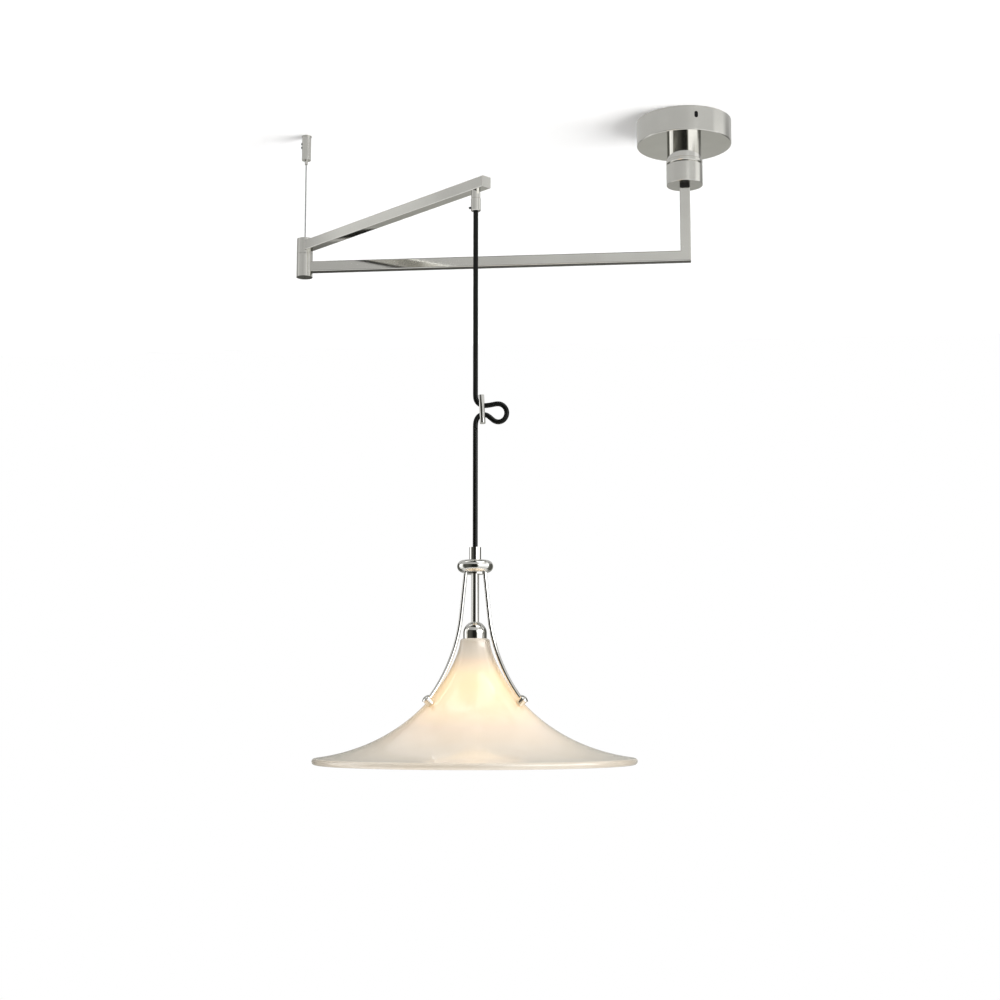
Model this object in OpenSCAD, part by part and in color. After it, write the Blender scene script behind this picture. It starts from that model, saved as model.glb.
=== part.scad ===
// Swing arm pendant light. A ceiling canopy carries a swivelling neck and a square lower arm.
// A knuckle, held up by a ceiling cable, joins it to a second arm with a bell shade of cased
// glass on a cord. Sizes are in millimetres. The origin is the centre of the canopy's ceiling
// face and +Z is up, so the whole lamp lies below z = 0. The lower arm points along -X.

/* [Canopy] */
// Outer diameter of the canopy
canopy_d = 138; // [124:1:160]
// Height of the canopy
canopy_h = 35.5; // [33:0.5:45]
// Sheet thickness of the canopy
canopy_wall = 1.5; // [1:0.1:2]
// Rounding of the canopy's lower edge
canopy_edge_r = 1.5; // [1:0.1:4]
// Thickness of the ceiling bracket's plate
bracket_t = 2; // [1.5:0.1:3]
// Thickness of the ceiling bracket's rim
bracket_rim_t = 2; // [1.5:0.1:3]
// Depth of the ceiling bracket's rim
bracket_rim_h = 20; // [18:0.5:22]
// Opening for the house cable in the ceiling bracket
cable_opening_d = 40; // [30:1:46]
// Distance between the two ceiling screw slots
ceiling_slot_spacing = 84; // [74:1:96]
// Width of a ceiling screw slot
ceiling_slot_w = 5; // [4:0.1:6]
// Length of a ceiling screw slot
ceiling_slot_l = 14; // [9:0.5:18]
// Number of fixing screws round the canopy
fixing_count = 3; // [2:1:4]
// Depth of the fixing screws below the ceiling
fixing_depth = 13; // [10:0.5:14]
// Diameter of a fixing screw
fixing_d = 4; // [3:0.1:4.6]
// Width of the adjusting slot for a fixing screw
fixing_slot_w = 5.2; // [5:0.1:6]
// Height of the adjusting slot for a fixing screw
fixing_slot_h = 9.5; // [7:0.5:12]
// Diameter of the backing plate
backing_d = 90; // [64:1:100]
// Thickness of the backing plate
backing_t = 3; // [2:0.1:4]

/* [Neck and swivel] */
// Diameter of the neck
neck_d = 50; // [48:0.5:52]
// Height of the neck
neck_h = 23.3; // [22:0.1:45]
// Diameter of the ring and the collar under the neck
collar_d = 52.8; // [51:0.1:58]
// Height of the ring
ring_h = 6.3; // [4:0.1:10]
// Height of the swivel collar
collar_h = 30.4; // [16:0.1:36]
// Chamfer on each side of the groove between the ring and the collar
groove_chamfer = 1.5; // [0.4:0.1:2]
// Diameter of the locating spigot on the ring
ring_spigot_d = 34; // [30:0.5:38]
// Height of the locating spigot on the ring
ring_spigot_h = 4; // [2:0.5:6]
// Diameter of the swivel spindle
spindle_d = 20; // [16:0.5:22]
// Bore of the swivel spindle
spindle_bore = 9; // [7:0.5:11]
// Thread length of the spindle in the collar
spindle_thread_l = 8; // [5:0.5:9]
// Width across the flats of the spindle nut
nut_af = 26; // [25:0.5:28]
// Thickness of the spindle nut
nut_h = 6; // [4:0.5:7]
// Diameter of the nut's pocket in the neck
nut_pocket_d = 33; // [33:0.5:34]
// Depth of the nut's pocket in the neck
nut_pocket_h = 10; // [9:0.5:12]
// Circle of the three neck screws
neck_screw_pcd = 41.5; // [41:0.1:42]
// Diameter of a neck screw
neck_screw_d = 4; // [3:0.5:5]
// Length of a neck screw in the neck
neck_screw_l = 9; // [6:0.5:14]
// Width of the square insulating bush
bush_w = 14.5; // [12:0.1:15]
// Height of the insulating bush
bush_h = 5; // [3:0.1:10]
// Diameter of the hollow stud that hangs the arm from the collar
stud_d = 10; // [8:0.5:11]
// Bore of the hollow stud
stud_bore = 5.4; // [4.5:0.1:6]
// Thread length of the stud in the collar
stud_thread_l = 10; // [6:0.5:12]
// Length of the square block on the stud
stud_block_l = 14; // [8:0.5:20]

/* [Arms] */
// Width of the square arm tube
tube_w = 15; // [14.6:0.1:18]
// Wall of the square arm tube
tube_wall = 1.5; // [1:0.1:1.6]
// Corner radius of the square arm tube
tube_corner_r = 1.2; // [0.3:0.1:1.8]
// Depth of the lower arm's axis below the ceiling
arm_drop = 202.9; // [180:0.1:300]
// Reach of the lower arm from the neck's axis to the knuckle's axis
lower_arm_l = 564.5; // [480:0.5:800]
// Reach of the upper arm from the knuckle's axis to the cord
upper_arm_l = 383; // [250:0.5:450]
// Angle between the two arms in the stored position
arm_angle = 41.6; // [10:0.1:170]
// Length of the upper arm beyond the cord
arm_overhang = 20.7; // [14:0.1:40]
// Thickness of the plate that closes the upper arm
end_plug_t = 2; // [1:0.1:4]
// Depth of the end plug's spigot in the tube
end_plug_l = 6; // [3:0.5:7]

/* [Knuckle] */
// Diameter of the knuckle
knuckle_d = 24; // [22:0.5:30]
// Height of the knuckle's split above the lower arm's axis
split_rise = 19.9; // [19:0.1:26]
// Height of the upper arm's axis above the split
upper_rise = 11.5; // [11:0.1:16]
// Depth of the knuckle below the lower arm's axis
knuckle_foot = 15.1; // [9:0.1:20]
// Height of the knuckle above the upper arm's axis
knuckle_crown = 11.9; // [11.5:0.1:16]
// Diameter of the spigot that the knuckle turns on
spigot_d = 14; // [12:0.1:16]
// Length of the spigot below the split
spigot_l = 15.4; // [12:0.1:15.6]
// Bore of the spigot
spigot_bore = 8; // [7:0.1:9]
// Diameter of the lead's chamber in the knuckle
chamber_d = 9; // [8.6:0.1:10]
// Diameter of the lead's side holes in the knuckle
side_hole_d = 8; // [7:0.1:9]
// Depth of the spigot's groove below the split
groove_depth_z = 7.5; // [5:0.1:10]
// Width of the spigot's groove
groove_w = 3.4; // [3.2:0.1:4]
// Depth of the spigot's groove in its wall
groove_cut = 1; // [0.5:0.1:1.4]
// Diameter of the keeper screw in the groove
keeper_d = 3; // [2.5:0.1:3]
// Thickness of the friction washer
friction_washer_t = 1; // [0.6:0.1:1.5]
// Diameter of the friction washer
friction_washer_d = 20; // [17:0.5:21]
// Diameter of the spanner notches at the split
notch_d = 1.8; // [1:0.1:2.5]
// Diameter of the knuckle's cap
cap_d = 16; // [14:0.5:18]
// Thickness of the knuckle's cap
cap_t = 3; // [2:0.1:3.4]

/* [Ceiling cable] */
// Diameter of the steel cable
cable_d = 2; // [1.5:0.1:2.2]
// Diameter of the ball on the cable's lower end
cable_ball_d = 5.6; // [5:0.1:6]
// Hole for the cable in the knuckle's cap
cap_hole_d = 2.8; // [2.6:0.1:3.2]
// Diameter of the gripper's sleeve
gripper_d = 13.5; // [13:0.1:16]
// Diameter of the lip on top of the sleeve
gripper_lip_d = 15; // [14.5:0.1:18]
// Thickness of the lip
gripper_lip_t = 1.3; // [0.8:0.1:3]
// Height of the gripper's sleeve
gripper_h = 37.4; // [36.5:0.1:45]
// Diameter of the ceiling base inside the sleeve
base_d = 10.4; // [10:0.1:11]
// Length of the ceiling base
base_l = 20; // [19:0.5:21]
// Diameter of the threaded hole for the ceiling stud
anchor_d = 5; // [4:0.1:6]
// Depth of the threaded hole for the ceiling stud
anchor_l = 10; // [8:0.5:11]
// Diameter of the two set screws in the sleeve
set_screw_d = 3; // [2.5:0.1:4]
// Depth of the upper set screw below the ceiling
set_screw_z = 12; // [8:0.5:12.5]
// Distance between the two set screws
set_screw_pitch = 5.5; // [5:0.1:6]
// Diameter of the release nipple
nipple_d = 4.5; // [4:0.1:5]
// Length of the release nipple outside the sleeve
nipple_out = 6.6; // [5:0.1:9]
// Travel of the release nipple
release_travel = 2; // [1:0.1:2.5]
// Height of the wedge cone that holds the cable
chuck_h = 6; // [4:0.1:6.5]
// Turns of the spring behind the wedge cone
spring_turns = 4; // [3:1:5]
// Wire of the spring behind the wedge cone
spring_wire = 0.6; // [0.5:0.05:0.7]

/* [Cord] */
// Diameter of the cord
cord_d = 6.5; // [6:0.1:7]
// Diameter of the lead inside the arms
lead_d = 3.6; // [3:0.1:3.6]
// Bend radius of the lead inside the arms
lead_bend_r = 7; // [6.5:0.1:7]
// Diameter of the nipple under the upper arm
grip_nipple_d = 12; // [11.5:0.1:14]
// Height of the nipple under the upper arm
grip_nipple_h = 10; // [6:0.1:16]
// Diameter of the nipple's threaded shank
grip_shank_d = 10; // [9.5:0.1:10.4]
// Thickness of the square nut inside the arm
grip_nut_t = 3; // [2:0.1:3]
// Diameter of the cord grip
grip_d = 13; // [12.5:0.1:15]
// Height of the cord grip
grip_h = 16.9; // [15:0.1:20]
// Seam between the nipple and the cord grip
grip_seam = 0.5; // [0.2:0.1:0.9]
// Height of the cord's swing point above the grip's mouth
pivot_rise = 2.4; // [2.3:0.1:2.6]
// Outer radius of the flexible bush in the grip
flex_r = 4.6; // [4.5:0.05:4.7]
// Swing of the cord each way
swing_angle = 15; // [5:1:16]
// Height of the cord adjuster
adjuster_h = 36.5; // [34:0.5:45]
// Thickness of the cord adjuster
adjuster_t = 7.2; // [6:0.1:8]
// Width of the cord adjuster
adjuster_w = 14; // [13:0.5:16]
// Diameter of the two cord holes in the adjuster
adjuster_hole_d = 8.5; // [8.4:0.1:9]
// Lean of the adjuster on the cord
adjuster_lean = 3; // [1:0.5:4]
// Slant of each cord hole
adjuster_slant = 15; // [12:1:18]

/* [Pendant] */
// Depth of the pendant's sleeve below the ceiling
sleeve_drop = 650.5; // [620:0.5:900]
// Diameter of the sleeve
sleeve_d = 15; // [14:0.1:18]
// Height of the sleeve
sleeve_h = 16.6; // [13:0.1:22]
// Length of cord clamped in the sleeve
cord_clamp_l = 7; // [5:0.1:8]
// Diameter of the round-edged disc that carries the wires
disc_d = 46; // [44:0.5:60]
// Height of the disc
disc_h = 15.8; // [12:0.1:18]
// Diameter of the plate under the disc
disc_plate_d = 25.5; // [22:0.1:28]
// Thickness of the plate under the disc
disc_plate_h = 2.0; // [1.5:0.1:4]
// Diameter of the stem
stem_d = 10; // [9:0.1:10.5]
// Wall of the stem
stem_wall = 1.2; // [0.8:0.1:2]
// Length of stem between the plate and the dome
stem_open_l = 60.1; // [50:0.5:90]
// Diameter of the dome on the shade's neck
dome_d = 30; // [28:0.1:32]
// Straight skirt under the dome
dome_skirt = 6.8; // [2:0.1:8]
// Wall of the dome
dome_wall = 1.2; // [0.8:0.1:2]
// Diameter of the lampholder's shell
holder_d = 27; // [25:0.1:27.6]
// Height of the lampholder's shell
holder_h = 45; // [42:0.5:48]
// Wall of the lampholder's shell
holder_wall = 1.2; // [0.8:0.1:1.5]
// Diameter of the bulb
bulb_d = 45; // [40:0.5:48]
// Depth of the bulb's lowest point below the lampholder's rim
bulb_below = 55; // [52:0.5:60]
// Wall of the bulb
bulb_wall = 0.8; // [0.6:0.1:1.2]
// Diameter of the bulb's cap
bulb_cap_d = 14; // [13.5:0.1:14.2]
// Length of the bulb's cap
bulb_cap_l = 18; // [15:0.5:20]

/* [Shade] */
// Diameter of the shade's rim
shade_d = 408; // [340:2:460]
// Height of the shade
shade_h = 157.4; // [140:0.1:190]
// Diameter of the shade's neck
shade_neck_d = 38; // [38:0.5:44]
// Rounding of the shade's shoulder
shoulder_r = 4; // [2:0.1:4]
// Glass thickness at the neck
glass_t = 4.7; // [4:0.1:5]
// Thickness of the fire-polished lip
lip_t = 8; // [6:0.1:9]
// Slope of the brim at the lip in degrees
brim_slope = 7.6; // [4:0.1:14]
// Pull of the neck on the bell curve
neck_pull = 16; // [5:1:40]
// Pull of the brim on the bell curve
brim_pull = 143; // [100:1:150]
// Opening in the top of the glass
glass_opening_d = 11.5; // [11:0.1:13]
// Distance of a knob from the shade's axis
knob_r = 63; // [56:0.5:70]
// Number of support wires and knobs
wire_count = 3; // [2:1:4]
// Diameter of a support wire
wire_d = 5; // [4:0.1:5.5]
// Distance of a wire from the axis where it leaves the disc
wire_r = 14; // [13:0.1:16]
// Tilt of a wire where it leaves the disc
wire_tilt = 6.7; // [4:0.1:7.5]
// Straight length of a wire below the disc
wire_straight = 55; // [40:0.5:60]
// Depth of a wire in the disc
wire_socket = 8; // [5:0.5:10]
// Height of a wire above the glass where it meets its knob
wire_lift = 6.5; // [6.5:0.1:7.3]
// Diameter of a knob's spacer
knob_d = 10.5; // [10:0.1:13]
// Height of a knob's spacer and washer together
knob_h = 9.8; // [9.6:0.1:13]
// Diameter of a knob's domed head
knob_head_d = 11.5; // [11:0.1:14]
// Height of a knob's domed head
knob_head_h = 2.8; // [2.8:0.1:5]
// Dome radius of a knob's head
knob_dome_r = 9; // [7.5:0.1:14]
// Shank diameter of a knob's screw
knob_shank_d = 4; // [3:0.1:4.4]
// Diameter of a knob's nut inside the glass
knob_nut_d = 9; // [8:0.1:11]
// Height of a knob's nut inside the glass
knob_nut_h = 3.5; // [2.5:0.1:5]
// Thickness of the soft washers on the glass
glass_washer_t = 0.8; // [0.5:0.1:1.2]

/* [Clearances] */
// Radial clearance of a running fit
run_gap = 0.05; // [0.03:0.01:0.1]
// Gap between two pieces that are fixed together
seat_gap = 0.05; // [0.02:0.01:0.1]
// Gap between two turning faces
turn_gap = 0.2; // [0.1:0.05:0.3]
// Gap between the glass and the soft washers
glass_gap = 0.2; // [0.18:0.01:0.3]

/* [Hidden] */
$fn = 96;
far = 400;
// levels down the neck
z_canopy = -canopy_h;
z_backing = z_canopy + canopy_wall;
z_nut_floor = z_canopy - nut_pocket_h;
z_neck_foot = z_canopy - neck_h;
z_ring_foot = z_neck_foot - ring_h;
z_collar_top = z_ring_foot - turn_gap;
z_collar_foot = z_collar_top - collar_h;
z_bush_foot = z_collar_foot - bush_h;
z_spindle_top = z_nut_floor + turn_gap + nut_h + 1.5;
z_supply_end = z_spindle_top + 1;
// levels of the arms and the knuckle
z_lower = -arm_drop;
z_split = z_lower + split_rise;
z_upper = z_split + upper_rise;
z_knuckle_foot = z_lower - knuckle_foot;
z_knuckle_top = z_upper + knuckle_crown;
z_cap_foot = z_knuckle_top - cap_t;
cable_ball_sink = sqrt(pow(cable_ball_d / 2, 2) - pow(cap_hole_d / 2, 2)) + turn_gap / 2;
z_ball = z_cap_foot - cable_ball_sink;
notch_azimuths = [-110, -75];
// levels of the ceiling gripper, from the base down to the release nipple
z_spring_top = -base_l - turn_gap;
gripper_floor_t = 2.2;
nipple_flange_t = 2;
z_gripper_floor = -gripper_h + gripper_floor_t;
z_flange_foot = z_gripper_floor + turn_gap;
z_chuck_foot = z_flange_foot + nipple_flange_t + seat_gap;
z_chuck_top = z_chuck_foot + chuck_h;
chuck_top_r = 4.3;
chuck_foot_r = 3;
chamber_r = chuck_top_r + 0.3;
cable_bore_d = cable_d + 0.6;
z_cable_top = -anchor_l - 3;
set_screw_proud = 1.2;
// the cord grip hangs under the upper arm
cord_r = cord_d / 2;
z_nipple_top = z_upper - tube_w / 2;
z_nipple_foot = z_nipple_top - grip_nipple_h;
z_grip_top = z_nipple_foot - grip_seam;
z_grip_foot = z_grip_top - grip_h;
z_pivot = z_grip_foot + pivot_rise;
grip_spigot_l = 8;
flex_seat_r = cord_r + 0.1;
flex_up = 1.5;
flex_down = 1.8;
flex_clear = cord_r / cos(swing_angle) + 0.1;
grip_bore_r = flex_r + run_gap;
grip_lip_z = flex_down + 0.1;
grip_lip_r = sqrt(grip_bore_r * grip_bore_r - grip_lip_z * grip_lip_z);
z_lead_end = z_pivot + cord_r + 0.3;
grip_screw_d = 3;
grip_screw_l = 4.2;
z_grip_screw = z_pivot + 2;
screw_azimuth = 186.7;
// the cord axis
cord_x = -lower_arm_l + upper_arm_l * cos(arm_angle);
cord_y = -upper_arm_l * sin(arm_angle);
// The cord's loop lies in a vertical plane at this azimuth. Its points are [out, z], and a
// smooth curve runs near them from the level of the second to that of the last but one.
loop_azimuth = 6.7;
loop_points = [
    [0, -442.5], [0, -448], [0, -453.5], [0.5, -459], [4, -464], [9.5, -466.5],
    [15.5, -466], [21.5, -465], [27.5, -463.5], [33.5, -464], [38.5, -468],
    [41, -474], [40, -480.5], [36.5, -485.5], [31, -488], [25, -487], [20.5, -483],
    [16, -479], [10.5, -477.5], [4.5, -479], [1, -484.5], [0, -490.5], [0, -496],
    [0, -501.5]
];
loop_steps = 2;
loop_sides = 12;
z_loop_top = loop_points[1][1];
z_loop_foot = loop_points[len(loop_points) - 2][1];
adjuster_out = 8.5;
z_adjuster = -471;
z_hole_high = -465.4;
z_hole_low = -478.8;
// levels of the pendant
z_sleeve = -sleeve_drop;
z_disc = z_sleeve - sleeve_h;
z_plate = z_disc - disc_h;
z_plate_foot = z_plate - disc_plate_h;
z_dome = z_plate_foot - stem_open_l;
z_shade = z_dome - dome_d / 2 - dome_skirt;
z_holder = z_shade - glass_t - seat_gap;
z_holder_foot = z_holder - holder_h;
z_bulb_foot = z_holder_foot - bulb_below;
z_bulb = z_bulb_foot + bulb_d / 2;
holder_top_t = 2;
stem_thread_l = 7;
z_stem_top = z_sleeve - cord_clamp_l - 1;
z_stem_foot = z_holder - holder_top_t - stem_thread_l;
bulb_neck_r = 8;
bulb_neck_l = 36;
z_bulb_neck = z_bulb + bulb_neck_l;
z_bulb_cap = z_bulb_neck + bulb_cap_l;
// The bell curve of the shade's outside is a cubic from the neck to the lip, in [radius, z]
lip_r = lip_t / 2;
lip_mid = [shade_d / 2 - lip_r, z_shade - shade_h + lip_r];
bell_a = [shade_neck_d / 2, z_shade - shoulder_r];
bell_d = lip_mid + lip_r * [sin(brim_slope), cos(brim_slope)];
bell_b = bell_a - [0, neck_pull];
bell_c = bell_d - brim_pull * [cos(brim_slope), -sin(brim_slope)];
bell_steps = 28;
lip_steps = 8;
function bell(u) = pow(1 - u, 3) * bell_a + 3 * pow(1 - u, 2) * u * bell_b
    + 3 * (1 - u) * u * u * bell_c + pow(u, 3) * bell_d;
function bell_slope(u) = 3 * pow(1 - u, 2) * (bell_b - bell_a)
    + 6 * (1 - u) * u * (bell_c - bell_b) + 3 * u * u * (bell_d - bell_c);
function unit(v) = v / norm(v);
// the outward normal is the tangent turned left
function bell_normal(u) = let (t = unit(bell_slope(u))) [-t[1], t[0]];
function glass_at(u) = glass_t + (lip_t - glass_t) * pow(u, 6);
function bell_inside(u) = bell(u) - glass_at(u) * bell_normal(u);
// the place on the curve where its radius is r, by halving
function bell_find(r, low = 0, high = 1, n = 24) = n == 0 ? (low + high) / 2
    : bell((low + high) / 2)[0] < r ? bell_find(r, (low + high) / 2, high, n - 1)
    : bell_find(r, low, (low + high) / 2, n - 1);
knob_u = bell_find(knob_r);
knob_at = bell(knob_u);
knob_out = bell_normal(knob_u);
knob_tilt = atan2(knob_out[0], knob_out[1]);
knob_glass_t = glass_at(knob_u);
knob_inner_z = -knob_glass_t - glass_gap - glass_washer_t;
// A wire runs straight from the disc, then on one arc to its knob
wire_dir = [sin(wire_tilt), -cos(wire_tilt)];
wire_side = [cos(wire_tilt), sin(wire_tilt)];
wire_knee = [wire_r, z_plate] + wire_straight * wire_dir;
wire_goal = knob_at + wire_lift * knob_out - wire_knee;
wire_along = wire_goal * wire_dir;
wire_aside = wire_goal * wire_side;
wire_bend_r = (pow(wire_along, 2) + pow(wire_aside, 2)) / (2 * wire_aside);
wire_full = 2 * atan2(wire_aside, wire_along);
wire_short = (knob_shank_d / 2 + 0.5) / wire_bend_r * 180 / PI;
wire_azimuth = -23;

// a cylinder that stands on z
module drum(d, h, z = 0) translate([0, 0, z]) cylinder(d = d, h = h);

// a cylinder along +X that starts at x
module rod_x(d, l, x = 0) translate([x, 0, 0]) rotate([0, 90, 0]) cylinder(d = d, h = l);

// frames of the moving groups
module at_knuckle() translate([-lower_arm_l, 0, 0]) children();
module along_upper_arm() at_knuckle() rotate([0, 0, -arm_angle]) children();
module at_cord() translate([cord_x, cord_y, 0]) children();
module each_wire() at_cord() for (i = [0:wire_count - 1])
    rotate([0, 0, wire_azimuth + i * 360 / wire_count]) children();
module each_knob() each_wire() translate([knob_at[0], 0, knob_at[1]])
    rotate([0, knob_tilt, 0]) children();

// A round rod bent in one plane. It starts along +Z. Each step is
// [straight length, bend radius, bend angle], and bends turn towards +X.
module bent_rod(d, steps, i = 0) if (i < len(steps)) {
    l = steps[i][0];
    r = steps[i][1];
    a = steps[i][2];
    cylinder(d = d, h = l);
    translate([0, 0, l]) {
        if (a > 0) translate([r, 0, 0]) rotate([90, 0, 180])
            rotate_extrude(angle = a) translate([r, 0]) circle(d = d);
        translate([r * (1 - cos(a)), 0, r * sin(a)]) rotate([0, a, 0])
            bent_rod(d, steps, i + 1);
    }
}

module rounded_square(w, r) {
    square([w - 2 * r, w], center = true);
    square([w, w - 2 * r], center = true);
    for (x = [-1, 1], y = [-1, 1]) translate([x * (w / 2 - r), y * (w / 2 - r)]) circle(r);
}

module square_tube(l) difference() {
    linear_extrude(l) rounded_square(tube_w, tube_corner_r);
    translate([0, 0, -1]) linear_extrude(l + 2) square(tube_w - 2 * tube_wall, center = true);
}

// the space on one side of the mitre between the drop tube and the lower arm
module mitre_side(up) translate([0, 0, z_lower]) rotate([0, 45, 0])
    translate([0, 0, up ? 2 * tube_w : -2 * tube_w]) cube(4 * tube_w, center = true);

// half section of a cup with a rounded lower edge, floor at y = 0
module cup_section(r, h, edge) {
    square([r - edge, h]);
    translate([0, edge]) square([r, h - edge]);
    translate([r - edge, edge]) circle(edge);
}

module each_fixing() for (i = [0:fixing_count - 1])
    rotate([0, 0, -76 + i * 360 / fixing_count]) translate([0, 0, -fixing_depth]) children();

module ceiling_slots() for (x = [-1, 1]) translate([x * ceiling_slot_spacing / 2, 0, -far / 2]) {
    travel = (ceiling_slot_l - ceiling_slot_w) / 2;
    for (s = [-1, 1]) translate([s * travel, 0, 0]) cylinder(d = ceiling_slot_w, h = far);
    translate([-travel, -ceiling_slot_w / 2, 0]) cube([2 * travel, ceiling_slot_w, far]);
}

bracket_r = canopy_d / 2 - canopy_wall - turn_gap;

module ceiling_bracket() color("lightsteelblue") difference() {
    drum(2 * bracket_r, bracket_rim_h, -bracket_rim_h);
    drum(2 * (bracket_r - bracket_rim_t), bracket_rim_h, -bracket_rim_h - bracket_t);
    drum(cable_opening_d, 3 * bracket_t, -2 * bracket_t);
    ceiling_slots();
    each_fixing() rod_x(fixing_d + 2 * seat_gap, far);
}

module canopy_cover() color("silver") difference() {
    translate([0, 0, z_canopy]) rotate_extrude()
        cup_section(canopy_d / 2, canopy_h, canopy_edge_r);
    translate([0, 0, z_backing]) rotate_extrude()
        cup_section(canopy_d / 2 - canopy_wall, canopy_h, canopy_edge_r / 2);
    drum(nut_pocket_d, 3 * canopy_wall, z_canopy - canopy_wall);
    neck_screw_holes();
    each_fixing() {
        travel = (fixing_slot_h - fixing_slot_w) / 2;
        for (s = [-1, 1]) translate([0, 0, s * travel]) rod_x(fixing_slot_w, far);
        translate([0, -fixing_slot_w / 2, -travel]) cube([far, fixing_slot_w, 2 * travel]);
    }
}

// headless screws with a hexagon socket, sunk in the cover's slots
module canopy_screws() color("dimgray") each_fixing() {
    tip = canopy_d / 2 - 0.3;
    start = bracket_r - bracket_rim_t - 3;
    difference() {
        rod_x(fixing_d, tip - start, start);
        translate([tip - fixing_d / 2, 0, 0]) rotate([0, 90, 0])
            cylinder(d = fixing_d / 2, h = fixing_d, $fn = 6);
    }
}

module each_neck_screw() for (i = [0:2]) rotate([0, 0, 60 + i * 120])
    translate([neck_screw_pcd / 2, 0, 0]) children();

module neck_screw_holes() each_neck_screw()
    drum(neck_screw_d + 2 * seat_gap, far, z_canopy - neck_screw_l - 1);

module backing_plate() color("lightsteelblue") difference() {
    drum(backing_d, backing_t, z_backing);
    drum(nut_pocket_d, 3 * backing_t, z_backing - backing_t);
    neck_screw_holes();
}

module neck_screws() color("dimgray") each_neck_screw() {
    drum(neck_screw_d, backing_t + canopy_wall + neck_screw_l, z_canopy - neck_screw_l);
    drum(1.7 * neck_screw_d, neck_screw_d, z_backing + backing_t);
}

block_y = 26;
block_w = 30;
block_l = 14;
block_h = 15;
z_block = -bracket_t - block_h;
z_supply = z_block + block_h / 2;

module terminal_block() color("ivory") difference() {
    translate([-block_w / 2, block_y, z_block]) cube([block_w, block_l, block_h]);
    for (x = [-1, 1]) {
        translate([x * block_w / 3, block_y - 1, z_supply]) rotate([-90, 0, 0])
            cylinder(d = 4, h = block_l + 2);
        translate([x * block_w / 3, block_y + block_l / 2, z_block - 1])
            cylinder(d = 4.5, h = block_h / 3);
    }
}

module bearing_neck() color("silver") difference() {
    drum(neck_d, neck_h, z_neck_foot);
    drum(spindle_d + 2 * run_gap, far, -far);
    drum(nut_pocket_d, nut_pocket_h + 1, z_nut_floor);
    drum(ring_spigot_d + 2 * seat_gap, ring_spigot_h + turn_gap + 1, z_neck_foot - 1);
    neck_screw_holes();
}

module bearing_ring() color("silver") difference() {
    translate([0, 0, z_ring_foot]) rotate_extrude() polygon([
        [spindle_d / 2 + run_gap, 0],
        [collar_d / 2 - groove_chamfer, 0],
        [collar_d / 2, groove_chamfer],
        [collar_d / 2, ring_h - groove_chamfer / 2],
        [collar_d / 2 - groove_chamfer / 2, ring_h],
        [ring_spigot_d / 2, ring_h],
        [ring_spigot_d / 2, ring_h + ring_spigot_h],
        [spindle_d / 2 + run_gap, ring_h + ring_spigot_h]
    ]);
}

supply_bend_r = 10;
module supply_lead() color("whitesmoke") translate([0, block_y, z_supply])
    rotate([90, 0, 0]) rotate([0, 0, -90]) bent_rod(lead_d, [
        [block_y - supply_bend_r, supply_bend_r, 90],
        [z_supply - supply_bend_r - z_supply_end, 0, 0]
    ]);

module swivel_spindle() color("lightgray") difference() {
    z_foot = z_collar_top - spindle_thread_l;
    drum(spindle_d, z_spindle_top - z_foot, z_foot);
    drum(spindle_bore, far, -far);
}

module spindle_nut() color("goldenrod") difference() {
    translate([0, 0, z_nut_floor + turn_gap]) cylinder(d = nut_af / cos(30), h = nut_h, $fn = 6);
    drum(spindle_d + 2 * seat_gap, far, -far);
}

module swivel_collar() color("silver") difference() {
    translate([0, 0, z_collar_foot]) rotate_extrude() polygon([
        [0, 0],
        [collar_d / 2 - 0.4, 0],
        [collar_d / 2, 0.4],
        [collar_d / 2, collar_h - groove_chamfer],
        [collar_d / 2 - groove_chamfer, collar_h],
        [0, collar_h]
    ]);
    drum(spindle_d + 2 * seat_gap, far, z_collar_top - spindle_thread_l - seat_gap);
    drum(stud_d + 2 * seat_gap, stud_thread_l + 1, z_collar_foot - 1);
    drum(stud_bore, collar_h + 2, z_collar_foot - 1);
}

module insulating_bush() color([0.08, 0.08, 0.08]) difference() {
    translate([0, 0, z_bush_foot]) linear_extrude(bush_h) rounded_square(bush_w, tube_corner_r);
    drum(stud_d + 2 * seat_gap, far, -far);
}

module arm_stud() color("lightgray") difference() {
    block_side = tube_w - 2 * tube_wall - 2 * seat_gap;
    union() {
        drum(stud_d, stud_block_l + bush_h + stud_thread_l, z_bush_foot - stud_block_l);
        translate([-block_side / 2, -block_side / 2, z_bush_foot - stud_block_l])
            cube([block_side, block_side, stud_block_l - seat_gap]);
    }
    drum(stud_bore, far, -far);
}

module drop_tube() color("silver") difference() {
    translate([0, 0, z_lower - tube_w]) square_tube(z_bush_foot - z_lower + tube_w);
    mitre_side(false);
}

module lower_arm_tube() color("silver") difference() {
    translate([tube_w, 0, z_lower]) rotate([0, -90, 0]) square_tube(lower_arm_l + tube_w);
    mitre_side(true);
    at_knuckle() drum(knuckle_d + 2 * seat_gap, 2 * tube_w, z_lower - tube_w);
}

// down the neck, along the lower arm and up into the knuckle, as one piece
module lower_lead() color("whitesmoke") translate([0, 0, z_supply_end]) rotate([180, 0, 180])
    bent_rod(lead_d, [
        [z_supply_end - z_lower - lead_bend_r, lead_bend_r, 90],
        [lower_arm_l - 2 * lead_bend_r, lead_bend_r, 90],
        [split_rise - lead_bend_r, 0, 0]
    ]);

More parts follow.
